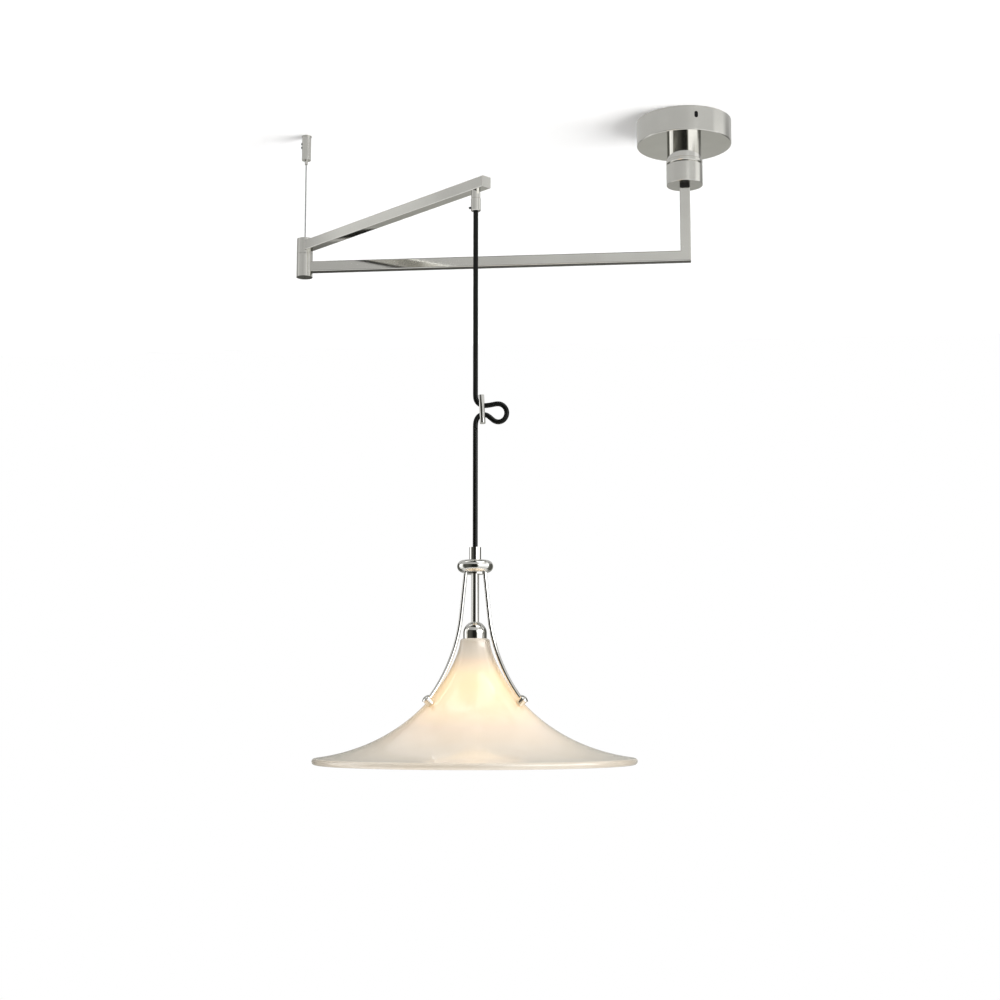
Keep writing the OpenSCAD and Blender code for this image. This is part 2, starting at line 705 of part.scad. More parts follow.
module knuckle_lower() color("silver") at_knuckle() difference() {
    drum(knuckle_d, z_split - turn_gap / 2 - z_knuckle_foot, z_knuckle_foot);
    drum(friction_washer_d + 1, far, z_split - friction_washer_t);
    drum(spigot_d + 2 * run_gap, far, z_split - spigot_l - turn_gap);
    drum(chamber_d, far, z_lower - chamber_d / 2);
    translate([0, 0, z_lower]) rod_x(side_hole_d, knuckle_d);
    translate([0, 0, z_split - groove_depth_z]) rotate([0, 0, 90])
        rod_x(keeper_d + 2 * seat_gap, knuckle_d);
    for (a = notch_azimuths) translate([0, 0, z_split - turn_gap / 2]) rotate([0, 0, a])
        rod_x(notch_d, 3, knuckle_d / 2 - 1.5);
}

module knuckle_keeper() color("dimgray") at_knuckle()
    translate([0, 0, z_split - groove_depth_z]) rotate([0, 0, 90]) {
        start = spigot_d / 2 - groove_cut + turn_gap;
        rod_x(keeper_d, knuckle_d / 2 - 0.5 - start, start);
    }

module friction_washer() color("dimgray") at_knuckle() difference() {
    drum(friction_washer_d, friction_washer_t - turn_gap, z_split - friction_washer_t + seat_gap);
    drum(spigot_d + 4 * run_gap, far, -far);
}

module suspension_cable() color("lightgray") at_knuckle()
    drum(cable_d, z_cable_top - z_ball, z_ball);

module cable_ball() color("dimgray") at_knuckle() difference() {
    translate([0, 0, z_ball]) sphere(d = cable_ball_d);
    drum(cable_d + 2 * seat_gap, cable_ball_d, z_ball - seat_gap);
}

module gripper_base() color("lightsteelblue") at_knuckle() difference() {
    drum(base_d, base_l, -base_l);
    drum(anchor_d, anchor_l + 1, -anchor_l);
    drum(cable_bore_d, base_l - anchor_l - 2 + 1, -base_l - 1);
}

module gripper_set_screws() at_knuckle() for (i = [0, 1]) rotate([0, 0, screw_azimuth])
    translate([0, 0, -set_screw_z - i * set_screw_pitch]) children();

module gripper_sleeve() color("silver") difference() {
    at_knuckle() difference() {
        union() {
            drum(gripper_d, gripper_h, -gripper_h);
            drum(gripper_lip_d, gripper_lip_t, -gripper_lip_t);
        }
        drum(base_d + 2 * seat_gap, base_l + 1, -base_l);
        drum(2 * chamber_r, far, z_chuck_top);
        translate([0, 0, z_chuck_foot])
            cylinder(r1 = chuck_foot_r + 0.3, r2 = chamber_r, h = chuck_h);
        drum(2 * chuck_foot_r + 0.6, far, z_gripper_floor);
        drum(nipple_d + 4 * run_gap, far, -far);
    }
    gripper_set_screws() rod_x(set_screw_d + 2 * seat_gap, gripper_d);
}

module gripper_screws() color("dimgray") gripper_set_screws()
    rod_x(set_screw_d, (gripper_d - base_d) / 2 + set_screw_proud, base_d / 2 + seat_gap);

// the spring's wire is one sweep of rings along a helix
spring_r = (chuck_top_r + chuck_foot_r) / 2 - spring_wire / 4;
spring_l = z_spring_top - z_chuck_top - spring_wire - 2 * turn_gap;
spring_rings = 10 * spring_turns;
spring_sides = 6;
function helix(i) = [
    spring_r * cos(i * 360 * spring_turns / spring_rings),
    spring_r * sin(i * 360 * spring_turns / spring_rings),
    z_chuck_top + turn_gap + spring_wire / 2 + spring_l * i / spring_rings
];
function ring_about(p, a, r, n) = [for (k = [0:n - 1])
    p + r * cos(k * 360 / n) * [cos(a), sin(a), 0] + [0, 0, r * sin(k * 360 / n)]];
function tube_faces(rings, n) = concat(
    [for (i = [0:rings - 2], k = [0:n - 1])
        [i * n + k, i * n + (k + 1) % n, (i + 1) * n + (k + 1) % n]],
    [for (i = [0:rings - 2], k = [0:n - 1])
        [i * n + k, (i + 1) * n + (k + 1) % n, (i + 1) * n + k]],
    [for (k = [1:n - 2]) [0, k + 1, k]],
    [for (k = [1:n - 2]) [(rings - 1) * n, (rings - 1) * n + k, (rings - 1) * n + k + 1]]
);

module gripper_spring() color("lightgray") at_knuckle() polyhedron(
    [for (i = [0:spring_rings])
        each ring_about(helix(i), i * 360 * spring_turns / spring_rings,
            spring_wire / 2, spring_sides)],
    [for (f = tube_faces(spring_rings + 1, spring_sides)) [f[2], f[1], f[0]]]
);

module release_nipple() color("silver") at_knuckle() difference() {
    union() {
        drum(nipple_d, z_flange_foot + gripper_h + nipple_out, -gripper_h - nipple_out);
        drum(2 * chuck_foot_r, nipple_flange_t, z_flange_foot);
    }
    drum(cable_bore_d, far, -far);
}

module gripper_chuck() color("goldenrod") at_knuckle() difference() {
    translate([0, 0, z_chuck_foot]) cylinder(r1 = chuck_foot_r, r2 = chuck_top_r, h = chuck_h);
    drum(cable_d + 4 * run_gap, far, -far);
}

module knuckle_upper() color("silver") along_upper_arm() difference() {
    union() {
        drum(knuckle_d, z_knuckle_top - z_split - turn_gap / 2, z_split + turn_gap / 2);
        drum(spigot_d, spigot_l + upper_rise, z_split - spigot_l);
    }
    drum(spigot_bore, far, z_upper - far);
    drum(chamber_d, far, z_upper - chamber_d / 2);
    drum(cap_d + 2 * seat_gap, far, z_cap_foot);
    translate([0, 0, z_upper]) rod_x(side_hole_d, knuckle_d);
    translate([0, 0, z_split - groove_depth_z - groove_w / 2]) difference() {
        cylinder(d = spigot_d + 1, h = groove_w);
        translate([0, 0, -1]) cylinder(d = spigot_d - 2 * groove_cut, h = groove_w + 2);
    }
}

module knuckle_cap() color("silver") along_upper_arm() difference() {
    drum(cap_d, cap_t, z_cap_foot + seat_gap);
    drum(cap_hole_d, far, -far);
    for (x = [-1, 1]) translate([x * cap_d / 3, 0, z_knuckle_top - 1.5]) cylinder(d = 2, h = 3);
}

module upper_arm_tube() color("silver") along_upper_arm() difference() {
    translate([0, 0, z_upper]) rotate([0, 90, 0])
        square_tube(upper_arm_l + arm_overhang - end_plug_t);
    drum(knuckle_d + 2 * seat_gap, 2 * tube_w, z_upper - tube_w);
    translate([upper_arm_l, 0, 0])
        drum(grip_shank_d + 2 * seat_gap, tube_w / 2, z_nipple_top - tube_w / 4);
}

module end_plug() color("gainsboro") along_upper_arm()
    translate([upper_arm_l + arm_overhang - end_plug_t, 0, z_upper]) rotate([0, 90, 0]) {
        side = tube_w - 2 * tube_wall - 2 * seat_gap;
        linear_extrude(end_plug_t) rounded_square(tube_w, tube_corner_r);
        translate([-side / 2, -side / 2, -end_plug_l]) cube([side, side, end_plug_l + 0.5]);
    }

// from the knuckle along the upper arm and down into the cord grip, as one piece
module upper_lead() color("whitesmoke") along_upper_arm() translate([0, 0, z_split])
    bent_rod(lead_d, [
        [upper_rise - lead_bend_r, lead_bend_r, 90],
        [upper_arm_l - 2 * lead_bend_r, lead_bend_r, 90],
        [z_upper - lead_bend_r - z_lead_end, 0, 0]
    ]);

module grip_nipple() color("silver") along_upper_arm() translate([upper_arm_l, 0, 0])
    difference() {
        shank_top = z_nipple_top + tube_wall + grip_nut_t;
        union() {
            drum(grip_nipple_d, grip_nipple_h, z_nipple_foot);
            drum(grip_shank_d, shank_top - z_nipple_top + 1, z_nipple_top - 1);
            drum(2 * (grip_bore_r - seat_gap), grip_spigot_l + 1, z_nipple_foot - grip_spigot_l);
        }
        drum(stud_bore, far, -far);
        drum(grip_shank_d - 2, far, z_nipple_top - 2);
    }

module nipple_nut() color("goldenrod") along_upper_arm()
    translate([upper_arm_l, 0, z_nipple_top + tube_wall + seat_gap]) difference() {
        side = tube_w - 2 * tube_wall - 0.6;
        translate([-side / 2, -side / 2, 0]) cube([side, side, grip_nut_t]);
        drum(grip_shank_d + 2 * seat_gap, 2 * grip_nut_t, -grip_nut_t / 2);
    }

module at_grip_screw() at_cord() translate([0, 0, z_grip_screw]) rotate([0, 0, screw_azimuth])
    children();

// a cup with a ball seat at its mouth, where the cord hangs and swings
module cord_grip() color("silver") difference() {
    at_cord() translate([0, 0, z_pivot]) rotate_extrude() difference() {
        polygon([
            [0, -pivot_rise],
            [grip_d / 2 - 0.8, -pivot_rise],
            [grip_d / 2, -pivot_rise + 0.8],
            [grip_d / 2, grip_h - pivot_rise],
            [0, grip_h - pivot_rise]
        ]);
        square([grip_bore_r, grip_h]);
        intersection() {
            circle(grip_bore_r);
            translate([0, -grip_lip_z]) square(2 * grip_bore_r);
        }
        polygon([
            [0, -grip_lip_z],
            [grip_lip_r, -grip_lip_z],
            [grip_lip_r + 0.6, -pivot_rise - 0.1],
            [0, -pivot_rise - 0.1]
        ]);
    }
    at_grip_screw() rod_x(grip_screw_d + 2 * seat_gap, grip_d);
}

module grip_screw() color("dimgray") at_grip_screw()
    rod_x(grip_screw_d, grip_screw_l, grip_bore_r + turn_gap);

// a ring with a ball outside and a flared mouth inside
module flex_bush() color([0.05, 0.05, 0.05]) at_cord() translate([0, 0, z_pivot])
    rotate_extrude() difference() {
        intersection() {
            circle(flex_r);
            translate([0, -flex_down]) square([flex_r, flex_up + flex_down]);
        }
        circle(flex_seat_r);
        polygon([
            [0, 0.1],
            [flex_clear, 0.1],
            [flex_clear, 0],
            [flex_clear + (flex_down + 1) * tan(swing_angle), -flex_down - 1],
            [0, -flex_down - 1]
        ]);
    }

module cord_upper() color([0.05, 0.05, 0.05]) at_cord() {
    translate([0, 0, z_pivot]) sphere(cord_r);
    drum(cord_d, z_pivot - z_loop_top, z_loop_top);
}

// a smooth curve near the loop's points: four neighbours pull on each stretch
function loop_at(k, u) = (pow(1 - u, 3) * loop_points[k]
    + (3 * pow(u, 3) - 6 * u * u + 4) * loop_points[k + 1]
    + (-3 * pow(u, 3) + 3 * u * u + 3 * u + 1) * loop_points[k + 2]
    + pow(u, 3) * loop_points[k + 3]) / 6;
loop_spans = len(loop_points) - 3;
loop_route = [
    for (k = [0:loop_spans - 1], i = [0:loop_steps - 1]) loop_at(k, i / loop_steps),
    loop_at(loop_spans - 1, 1)
];
loop_last = len(loop_route) - 1;
function loop_heading(i) = i == 0 || i == loop_last ? [0, -1]
    : unit(loop_route[i + 1] - loop_route[i - 1]);
function loop_ring(i) = let (p = loop_route[i], t = loop_heading(i))
    [for (k = [0:loop_sides - 1]) let (a = k * 360 / loop_sides)
        [p[0] - cord_r * cos(a) * t[1], cord_r * sin(a), p[1] + cord_r * cos(a) * t[0]]];

module cord_loop() color([0.05, 0.05, 0.05]) at_cord() rotate([0, 0, loop_azimuth])
    polyhedron([for (i = [0:loop_last]) each loop_ring(i)],
        tube_faces(loop_last + 1, loop_sides));

// a flat bar with round sides and two slanted holes, which the cord is threaded through
module cord_adjuster() color("silver") at_cord() rotate([0, 0, loop_azimuth])
    translate([adjuster_out, 0, 0]) difference() {
        translate([0, 0, z_adjuster]) rotate([0, -adjuster_lean, 0])
            translate([0, 0, -adjuster_h / 2]) linear_extrude(adjuster_h) {
                reach = (adjuster_w - adjuster_t) / 2;
                square([adjuster_t, 2 * reach], center = true);
                for (y = [-1, 1]) translate([0, y * reach]) circle(d = adjuster_t);
            }
        translate([0, 0, z_hole_high]) rotate([0, 90 + adjuster_slant, 0])
            cylinder(d = adjuster_hole_d, h = 3 * adjuster_t, center = true);
        translate([0, 0, z_hole_low]) rotate([0, 90 - adjuster_slant, 0])
            cylinder(d = adjuster_hole_d, h = 3 * adjuster_t, center = true);
    }

module cord_lower() color([0.05, 0.05, 0.05]) at_cord()
    drum(cord_d, z_loop_foot - z_sleeve + cord_clamp_l, z_sleeve - cord_clamp_l);

module at_sleeve_screw() at_cord() translate([0, 0, z_sleeve - cord_clamp_l / 2])
    rotate([0, 0, 90]) children();

module pendant_sleeve() color("silver") difference() {
    at_cord() difference() {
        drum(sleeve_d, sleeve_h, z_disc);
        drum(cord_d + 2 * seat_gap, far, z_sleeve - cord_clamp_l - seat_gap);
        drum(stem_d - 2 * stem_wall, far, z_disc - far / 2);
        drum(stem_d + 2 * seat_gap, z_stem_top + seat_gap - z_disc + 1, z_disc - 1);
    }
    at_sleeve_screw() rod_x(set_screw_d + 2 * seat_gap, sleeve_d);
}

module sleeve_screw() color("dimgray") at_sleeve_screw()
    rod_x(set_screw_d, (sleeve_d - cord_d) / 2 - 0.6, cord_r + 2 * seat_gap);

// the bent wires, thicker by twice the gap where they cut their sockets
module wire_rods(gap) each_wire() translate([wire_r, 0, z_plate])
    rotate([0, 180 - wire_tilt, 0]) rotate([0, 0, 180]) translate([0, 0, -wire_socket - gap])
        bent_rod(wire_d + 2 * gap, [
            [wire_socket + gap + wire_straight, wire_bend_r, wire_full - wire_short]
        ]);

module wire_sockets(gap) each_wire() translate([wire_r, 0, z_plate])
    rotate([0, 180 - wire_tilt, 0]) translate([0, 0, -wire_socket - gap])
        cylinder(d = wire_d + 2 * gap, h = 2 * wire_socket);

module holder_disc() color("silver") difference() {
    at_cord() translate([0, 0, z_plate]) rotate_extrude() {
        square([(disc_d - disc_h) / 2, disc_h]);
        translate([(disc_d - disc_h) / 2, 0]) intersection() {
            translate([0, disc_h / 2]) circle(disc_h / 2);
            square(disc_h);
        }
    }
    at_cord() drum(stem_d + 2 * seat_gap, far, z_plate - far / 2);
    wire_sockets(seat_gap);
}

module disc_plate() color("silver") difference() {
    at_cord() drum(disc_plate_d, disc_plate_h, z_plate_foot);
    at_cord() drum(stem_d + 2 * seat_gap, far, z_plate - far / 2);
    wire_sockets(0.2);
}

module stem() color("silver") at_cord() difference() {
    drum(stem_d, z_stem_top - z_stem_foot, z_stem_foot);
    drum(stem_d - 2 * stem_wall, far, z_stem_foot - 1);
}

module pendant_lead() color("whitesmoke") at_cord()
    drum(lead_d, z_sleeve - cord_clamp_l - z_stem_foot, z_stem_foot);

module support_wires() color("silver") wire_rods(0);

module knob_spacers() color("silver") difference() {
    each_knob() difference() {
        drum(knob_d, knob_h - glass_washer_t - glass_gap, glass_washer_t + glass_gap);
        drum(knob_shank_d + 2 * seat_gap, far, -far / 2);
    }
    wire_rods(seat_gap);
}

module knob_screws() color("silver") each_knob() {
    shank_l = knob_h - knob_inner_z + knob_nut_h + 1;
    drum(knob_shank_d, shank_l, knob_h - shank_l);
    translate([0, 0, knob_h]) rotate_extrude() intersection() {
        translate([0, knob_head_h - knob_dome_r]) circle(knob_dome_r);
        square([knob_head_d / 2, knob_head_h]);
    }
}

module knob_nuts() color("silver") each_knob() difference() {
    drum(knob_nut_d, knob_nut_h, knob_inner_z - knob_nut_h - seat_gap);
    drum(knob_shank_d + 2 * seat_gap, far, -far / 2);
}

module glass_washers() color("whitesmoke") each_knob() for (z = [glass_gap, knob_inner_z])
    difference() {
        drum(knob_nut_d, glass_washer_t - seat_gap, z);
        drum(knob_shank_d + 2 * seat_gap, far, -far / 2);
    }

// one blown bell: shoulder, outer curve, polished lip and inner curve
module shade_section() {
    opening_r = glass_opening_d / 2;
    shoulder_steps = 4;
    polygon(concat(
        [[opening_r, z_shade]],
        [for (i = [0:shoulder_steps]) let (a = 90 - 90 * i / shoulder_steps)
            [shade_neck_d / 2 - shoulder_r + shoulder_r * cos(a),
                z_shade - shoulder_r + shoulder_r * sin(a)]],
        [for (i = [1:bell_steps]) bell(i / bell_steps)],
        [for (i = [1:lip_steps - 1]) let (a = 90 - brim_slope - 180 * i / lip_steps)
            lip_mid + lip_r * [cos(a), sin(a)]],
        [for (i = [bell_steps:-1:0]) bell_inside(i / bell_steps)],
        [[shade_neck_d / 2 - glass_t, z_shade - glass_t], [opening_r, z_shade - glass_t]]
    ));
}

module shade_glass() color([0.95, 0.9, 0.8]) difference() {
    at_cord() rotate_extrude() shade_section();
    each_knob() drum(knob_shank_d + 0.6, 4 * lip_t, -2 * lip_t);
}

module dome_cover() color("silver") at_cord() translate([0, 0, z_dome - dome_d / 2])
    rotate_extrude() difference() {
        union() {
            intersection() {
                circle(d = dome_d);
                square(dome_d);
            }
            translate([0, seat_gap - dome_skirt]) square([dome_d / 2, dome_skirt]);
        }
        circle(dome_d / 2 - dome_wall);
        translate([0, -dome_d]) square([dome_d / 2 - dome_wall, dome_d]);
        square([stem_d / 2 + seat_gap, dome_d]);
    }

module lampholder_shell() color("gainsboro") at_cord() difference() {
    drum(holder_d, holder_h, z_holder_foot);
    drum(holder_d - 2 * holder_wall, holder_h, z_holder_foot - holder_top_t);
    drum(stem_d + 2 * seat_gap, far, z_holder - far / 2);
}

module lampholder_insert() color("ivory") at_cord() difference() {
    rise = 3;
    drum(holder_d - 2 * holder_wall - 2 * seat_gap, holder_h - holder_top_t - rise - seat_gap,
        z_holder_foot + rise);
    drum(stem_d + 2 * seat_gap, far, z_stem_foot - seat_gap);
    drum(bulb_cap_d + 0.6, z_bulb_cap + 0.3 - z_holder_foot + 1, z_holder_foot - 1);
    drum(stem_d - 2 * stem_wall, far, z_holder - far / 2);
}

module bulb_cap() color("goldenrod") at_cord() {
    drum(bulb_cap_d, bulb_cap_l - 3, z_bulb_neck);
    translate([0, 0, z_bulb_neck + bulb_cap_l - 3])
        cylinder(r1 = bulb_cap_d / 2, r2 = stem_d / 3, h = 3);
}

module bulb_section(r, neck) {
    intersection() {
        circle(r);
        translate([0, -r]) square([r, 2 * r]);
    }
    polygon([
        [0, 0],
        [r * cos(20), r * sin(20)],
        [neck + 2, bulb_neck_l - 10],
        [neck, bulb_neck_l - 3],
        [0, bulb_neck_l - 3]
    ]);
}

module bulb_glass() color("white") at_cord() translate([0, 0, z_bulb]) rotate_extrude()
    difference() {
        union() {
            bulb_section(bulb_d / 2, bulb_neck_r);
            square([bulb_cap_d / 2 - 0.5, bulb_neck_l - seat_gap]);
        }
        bulb_section(bulb_d / 2 - bulb_wall, bulb_neck_r - 2 * bulb_wall);
        square([bulb_cap_d / 2 - 1.5, bulb_neck_l + 1]);
    }

ceiling_bracket();
canopy_cover();
canopy_screws();
backing_plate();
neck_screws();
terminal_block();
bearing_neck();
bearing_ring();
supply_lead();
swivel_spindle();
spindle_nut();
swivel_collar();
insulating_bush();
arm_stud();
drop_tube();
lower_arm_tube();
lower_lead();
knuckle_lower();
knuckle_keeper();
friction_washer();
suspension_cable();
cable_ball();
gripper_base();
gripper_sleeve();
gripper_screws();
gripper_spring();
release_nipple();
gripper_chuck();
knuckle_upper();
knuckle_cap();
upper_arm_tube();
end_plug();
upper_lead();
grip_nipple();
nipple_nut();
cord_grip();
grip_screw();
flex_bush();
cord_upper();
cord_loop();
cord_adjuster();
cord_lower();
pendant_sleeve();
sleeve_screw();
holder_disc();
disc_plate();
stem();
pendant_lead();
support_wires();
knob_spacers();
knob_screws();
knob_nuts();
glass_washers();
shade_glass();
dome_cover();
lampholder_shell();
lampholder_insert();
bulb_cap();
bulb_glass();
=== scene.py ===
# %% [markdown]
# # A swing arm pendant light
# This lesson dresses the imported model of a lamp: a round canopy, two square arms joined by a
# knuckle, and a bell of cased glass on a cord. The solids are already exact, so most of the
# work is in the finishes, the cords and the glass. Everything is in metres, and the origin is
# the centre of the canopy's ceiling face.

# %% Load the frame
import math
import bpy
import numpy as np
from mathutils import Matrix, Vector


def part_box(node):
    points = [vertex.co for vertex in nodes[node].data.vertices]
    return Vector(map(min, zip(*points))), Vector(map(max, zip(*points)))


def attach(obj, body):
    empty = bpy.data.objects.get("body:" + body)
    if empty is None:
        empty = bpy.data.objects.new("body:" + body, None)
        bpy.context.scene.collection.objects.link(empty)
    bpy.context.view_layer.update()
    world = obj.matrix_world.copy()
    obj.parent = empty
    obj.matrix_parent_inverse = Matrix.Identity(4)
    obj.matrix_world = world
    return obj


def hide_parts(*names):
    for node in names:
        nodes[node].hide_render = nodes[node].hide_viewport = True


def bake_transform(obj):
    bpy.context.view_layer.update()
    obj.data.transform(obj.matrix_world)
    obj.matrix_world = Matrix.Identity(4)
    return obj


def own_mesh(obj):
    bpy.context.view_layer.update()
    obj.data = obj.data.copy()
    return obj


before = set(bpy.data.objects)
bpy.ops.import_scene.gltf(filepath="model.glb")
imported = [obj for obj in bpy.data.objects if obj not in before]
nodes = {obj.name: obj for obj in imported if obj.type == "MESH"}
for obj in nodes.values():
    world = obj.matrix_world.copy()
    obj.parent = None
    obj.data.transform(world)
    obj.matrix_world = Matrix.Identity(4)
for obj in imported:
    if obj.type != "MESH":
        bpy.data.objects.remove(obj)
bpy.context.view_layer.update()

mm = 0.001

# %% [markdown]
# ## The camera
# The photo was taken 2.3 m in front of the lamp and 0.86 m below the ceiling, tilted up by
# 7.5 degrees and turned 5.8 degrees to the left. A camera with the same lens and place makes
# the render line up with it. It comes first, because cords must be checked against what it
# sees.

# %% Camera
sensor, focal_px, picture_px = 36, 1594.9, 1000
lens = bpy.data.cameras.new("camera")
lens.sensor_width = sensor
lens.lens = sensor * focal_px / picture_px
lens.clip_end = 60
camera = bpy.data.objects.new("camera", lens)
camera.location = (-0.0423, -2.2710, -0.8557)
camera.rotation_euler = [math.radians(a) for a in (97.473, 0.019, 5.776)]
bpy.context.collection.objects.link(camera)
bpy.context.scene.camera = camera
print("lens", round(lens.lens, 1), "mm")

# %% [markdown]
# ## Small helpers
# Colours are written as the hex values one reads off a picture. Blender works in linear
# light, so one function turns them. Another adds a node to a material, sets its values and
# joins its inputs, which keeps every finish below short.

# %% Colour and node helpers
def linear(code):
    """sRGB hex to linear RGBA: c/12.92 when small, else ((c + 0.055) / 1.055) ** 2.4."""
    c = np.array([int(code[i:i + 2], 16) for i in (1, 3, 5)]) / 255
    return (*np.where(c <= 0.04045, c / 12.92, ((c + 0.055) / 1.055) ** 2.4), 1.0)


def give(node, tree, inputs=None, **named):
    """Sets or joins inputs: a str is a hex colour. In a named one, _ stands for a space."""
    named = {name.replace("_", " "): value for name, value in named.items()}
    for name, value in {**(inputs or {}), **named}.items():
        if isinstance(value, bpy.types.NodeSocket):
            tree.links.new(value, node.inputs[name])
        else:
            value = linear(value) if isinstance(value, str) else value
            node.inputs[name].default_value = value


def add(tree, kind, inputs=None, stops=None, **settings):
    """Adds a node. Settings are its properties, inputs are values, colours or sockets, and
    stops are a colour ramp's {place: hex colour or grey}."""
    node = tree.nodes.new("ShaderNode" + kind)
    for name, value in settings.items():
        setattr(node, name, value)
    for i, (place, value) in enumerate(sorted((stops or {}).items())):
        marks = node.color_ramp.elements
        mark = marks[0] if i == 0 else marks[-1] if i == len(stops) - 1 else marks.new(place)
        mark.position = place
        mark.color = linear(value) if isinstance(value, str) else (value, value, value, 1)
    give(node, tree, inputs)
    return node


def finish(name, **inputs):
    """A new material with one Principled shader, whose inputs are set by their names."""
    material = bpy.data.materials.new(name)
    material.use_nodes = True
    tree = material.node_tree
    tree.nodes.clear()
    shader = add(tree, "BsdfPrincipled")
    add(tree, "OutputMaterial", {"Surface": shader.outputs[0]})
    give(shader, tree, **inputs)
    return material, tree, shader


def darker(colour, part):
    """The hex colour whose linear values are this part of another's."""
    c = np.array(linear(colour)[:3]) * part
    c = np.where(c <= 0.0031308, 12.92 * c, 1.055 * c ** (1 / 2.4) - 0.055)
    return "#" + "".join("%02X" % round(255 * v) for v in c)


print("helpers ready")

# %% [markdown]
# ## Surfaces as functions
# A new surface is a grid of points worked out as whole arrays. Rows run along the piece and
# columns run round it. Each face joins four neighbours, and after the last column comes the
# first one again. A piece with two ends gets a cap on each.

# %% Grid surface
def surface(name, grid, close_rows=False, flip=False):
    """Mesh from grid[rows, columns, 3]. close_rows joins the last row to the first instead of
    capping both ends, flip turns all faces over. Its UV map is (column, row) from 0 to 1."""
    rows, cols = grid.shape[:2]
    r, c = np.meshgrid(np.arange(rows if close_rows else rows - 1), np.arange(cols),
                       indexing="ij")
    r2, c2 = (r + 1) % rows, (c + 1) % cols
    quads = np.stack([r * cols + c, r * cols + c2, r2 * cols + c2, r2 * cols + c], -1)
    quads = quads.reshape(-1, 4)
    uv = np.stack([np.stack([c, r], -1), np.stack([c + 1, r], -1), np.stack([c + 1, r + 1], -1),
                   np.stack([c, r + 1], -1)], 2).reshape(-1, 2) / np.array([cols, rows - 1])
    if flip:
        quads, uv = quads[:, ::-1], uv.reshape(-1, 4, 2)[:, ::-1].reshape(-1, 2)
    faces = quads.tolist()
    if not close_rows:
        first, last = list(range(cols)), list(range((rows - 1) * cols, rows * cols))
        faces += [first if flip else first[::-1], last[::-1] if flip else last]
    mesh = bpy.data.meshes.new(name)
    mesh.from_pydata(grid.reshape(-1, 3).tolist(), [], faces)
    layer = mesh.uv_layers.new(name="UVMap")
    flat = np.zeros((len(mesh.loops), 2), np.float32)
    flat[:len(uv)] = uv
    layer.data.foreach_set("uv", flat.ravel())
    mesh.polygons.foreach_set("use_smooth", np.ones(len(mesh.polygons), bool))
    mesh.update()
    piece = bpy.data.objects.new(name, mesh)
    bpy.context.collection.objects.link(piece)
    return piece


def swept(name, path, radius, sides, side_of):
    """A round tube along path[n, 3]. side_of is the fixed normal of the plane in which the path
    bends, so each ring is radius * (cos a * (side x tangent) + sin a * side) about its point."""
    tangent = np.gradient(path, axis=0)
    tangent /= np.linalg.norm(tangent, axis=1)[:, None]
    side = np.asarray(side_of, float)
    across = np.cross(side, tangent)
    across /= np.linalg.norm(across, axis=1)[:, None]
    a = np.linspace(0, 2 * np.pi, sides, endpoint=False)
    ring = np.cos(a)[None, :, None] * across[:, None] + np.sin(a)[None, :, None] * side
    return surface(name, path[:, None] + radius * ring)


def turned(name, profile, centre, steps):
    """A surface of revolution: (r, z) goes to (r cos a, r sin a, z) about centre's axis. The
    profile is a closed loop of points, so the piece is a solid ring."""
    a = np.linspace(0, 2 * np.pi, steps, endpoint=False)
    r, z = np.asarray(profile, float).T
    grid = np.stack([r[:, None] * np.cos(a), r[:, None] * np.sin(a),
                     np.broadcast_to(z[:, None], (len(r), steps))], -1)
    return surface(name, grid + np.array([centre[0], centre[1], 0]), close_rows=True)


print("surface functions ready")

# %% [markdown]
# ## The cord
# The cord hangs straight from the grip, is threaded through two slanted holes of a small bar,
# makes a loop there, and hangs straight again to the shade. Friction in the slanted holes
# holds the height, and a longer loop lifts the shade. The route is the same as in the solid
# model: a uniform cubic B-spline near a few listed points.

# %% Route of the cord
lower_arm, upper_arm, elbow_turn = 564.5, 383, math.radians(41.6)
cord_axis = np.array([-lower_arm + upper_arm * math.cos(elbow_turn),
                      -upper_arm * math.sin(elbow_turn)]) * mm
cord_d = 6.5 * mm
pivot_z, sleeve_z = -204 * mm, -657.5 * mm
hang_steps, drop_steps = 56, 48
loop_turn = math.radians(6.7)
loop_side = np.array([-math.sin(loop_turn), math.cos(loop_turn), 0])
loop_points = np.array([
    (0, -442.5), (0, -448), (0, -453.5), (0.5, -459), (4, -464), (9.5, -466.5),
    (15.5, -466), (21.5, -465), (27.5, -463.5), (33.5, -464), (38.5, -468), (41, -474),
    (40, -480.5), (36.5, -485.5), (31, -488), (25, -487), (20.5, -483), (16, -479),
    (10.5, -477.5), (4.5, -479), (1, -484.5), (0, -490.5), (0, -496), (0, -501.5)])


def b_spline(points, steps):
    """Each stretch mixes four neighbours: (1-u)^3, 3u^3-6u^2+4, -3u^3+3u^2+3u+1 and u^3, each
    over 6."""
    u = np.linspace(0, 1, steps, endpoint=False)
    mix = np.stack([(1 - u) ** 3, 3 * u ** 3 - 6 * u ** 2 + 4,
                    -3 * u ** 3 + 3 * u ** 2 + 3 * u + 1, u ** 3], 1) / 6
    spans = np.stack([points[i:len(points) - 3 + i] for i in range(4)], 1)
    last = (points[-3] + 4 * points[-2] + points[-1]) / 6
    return np.vstack([np.einsum("sk,nkd->nsd", mix, spans).reshape(-1, points.shape[1]), last])


def on_cord(out_z):
    """(distance out, z) in the loop's plane to a point in the row frame."""
    out, z = np.asarray(out_z, float).T
    return np.stack([cord_axis[0] + out * math.cos(loop_turn),
                     cord_axis[1] + out * math.sin(loop_turn), z], 1)


loop_route = b_spline(loop_points, 10) * mm
straight = np.stack([np.zeros(hang_steps),
                     np.linspace(pivot_z, loop_route[0, 1], hang_steps + 1)[:-1]], 1)
hang_route = on_cord(np.vstack([straight, loop_route]))
drop_z = np.linspace(loop_route[-1, 1], sleeve_z, drop_steps)
drop_route = on_cord(np.stack([np.zeros(drop_steps), drop_z], 1))


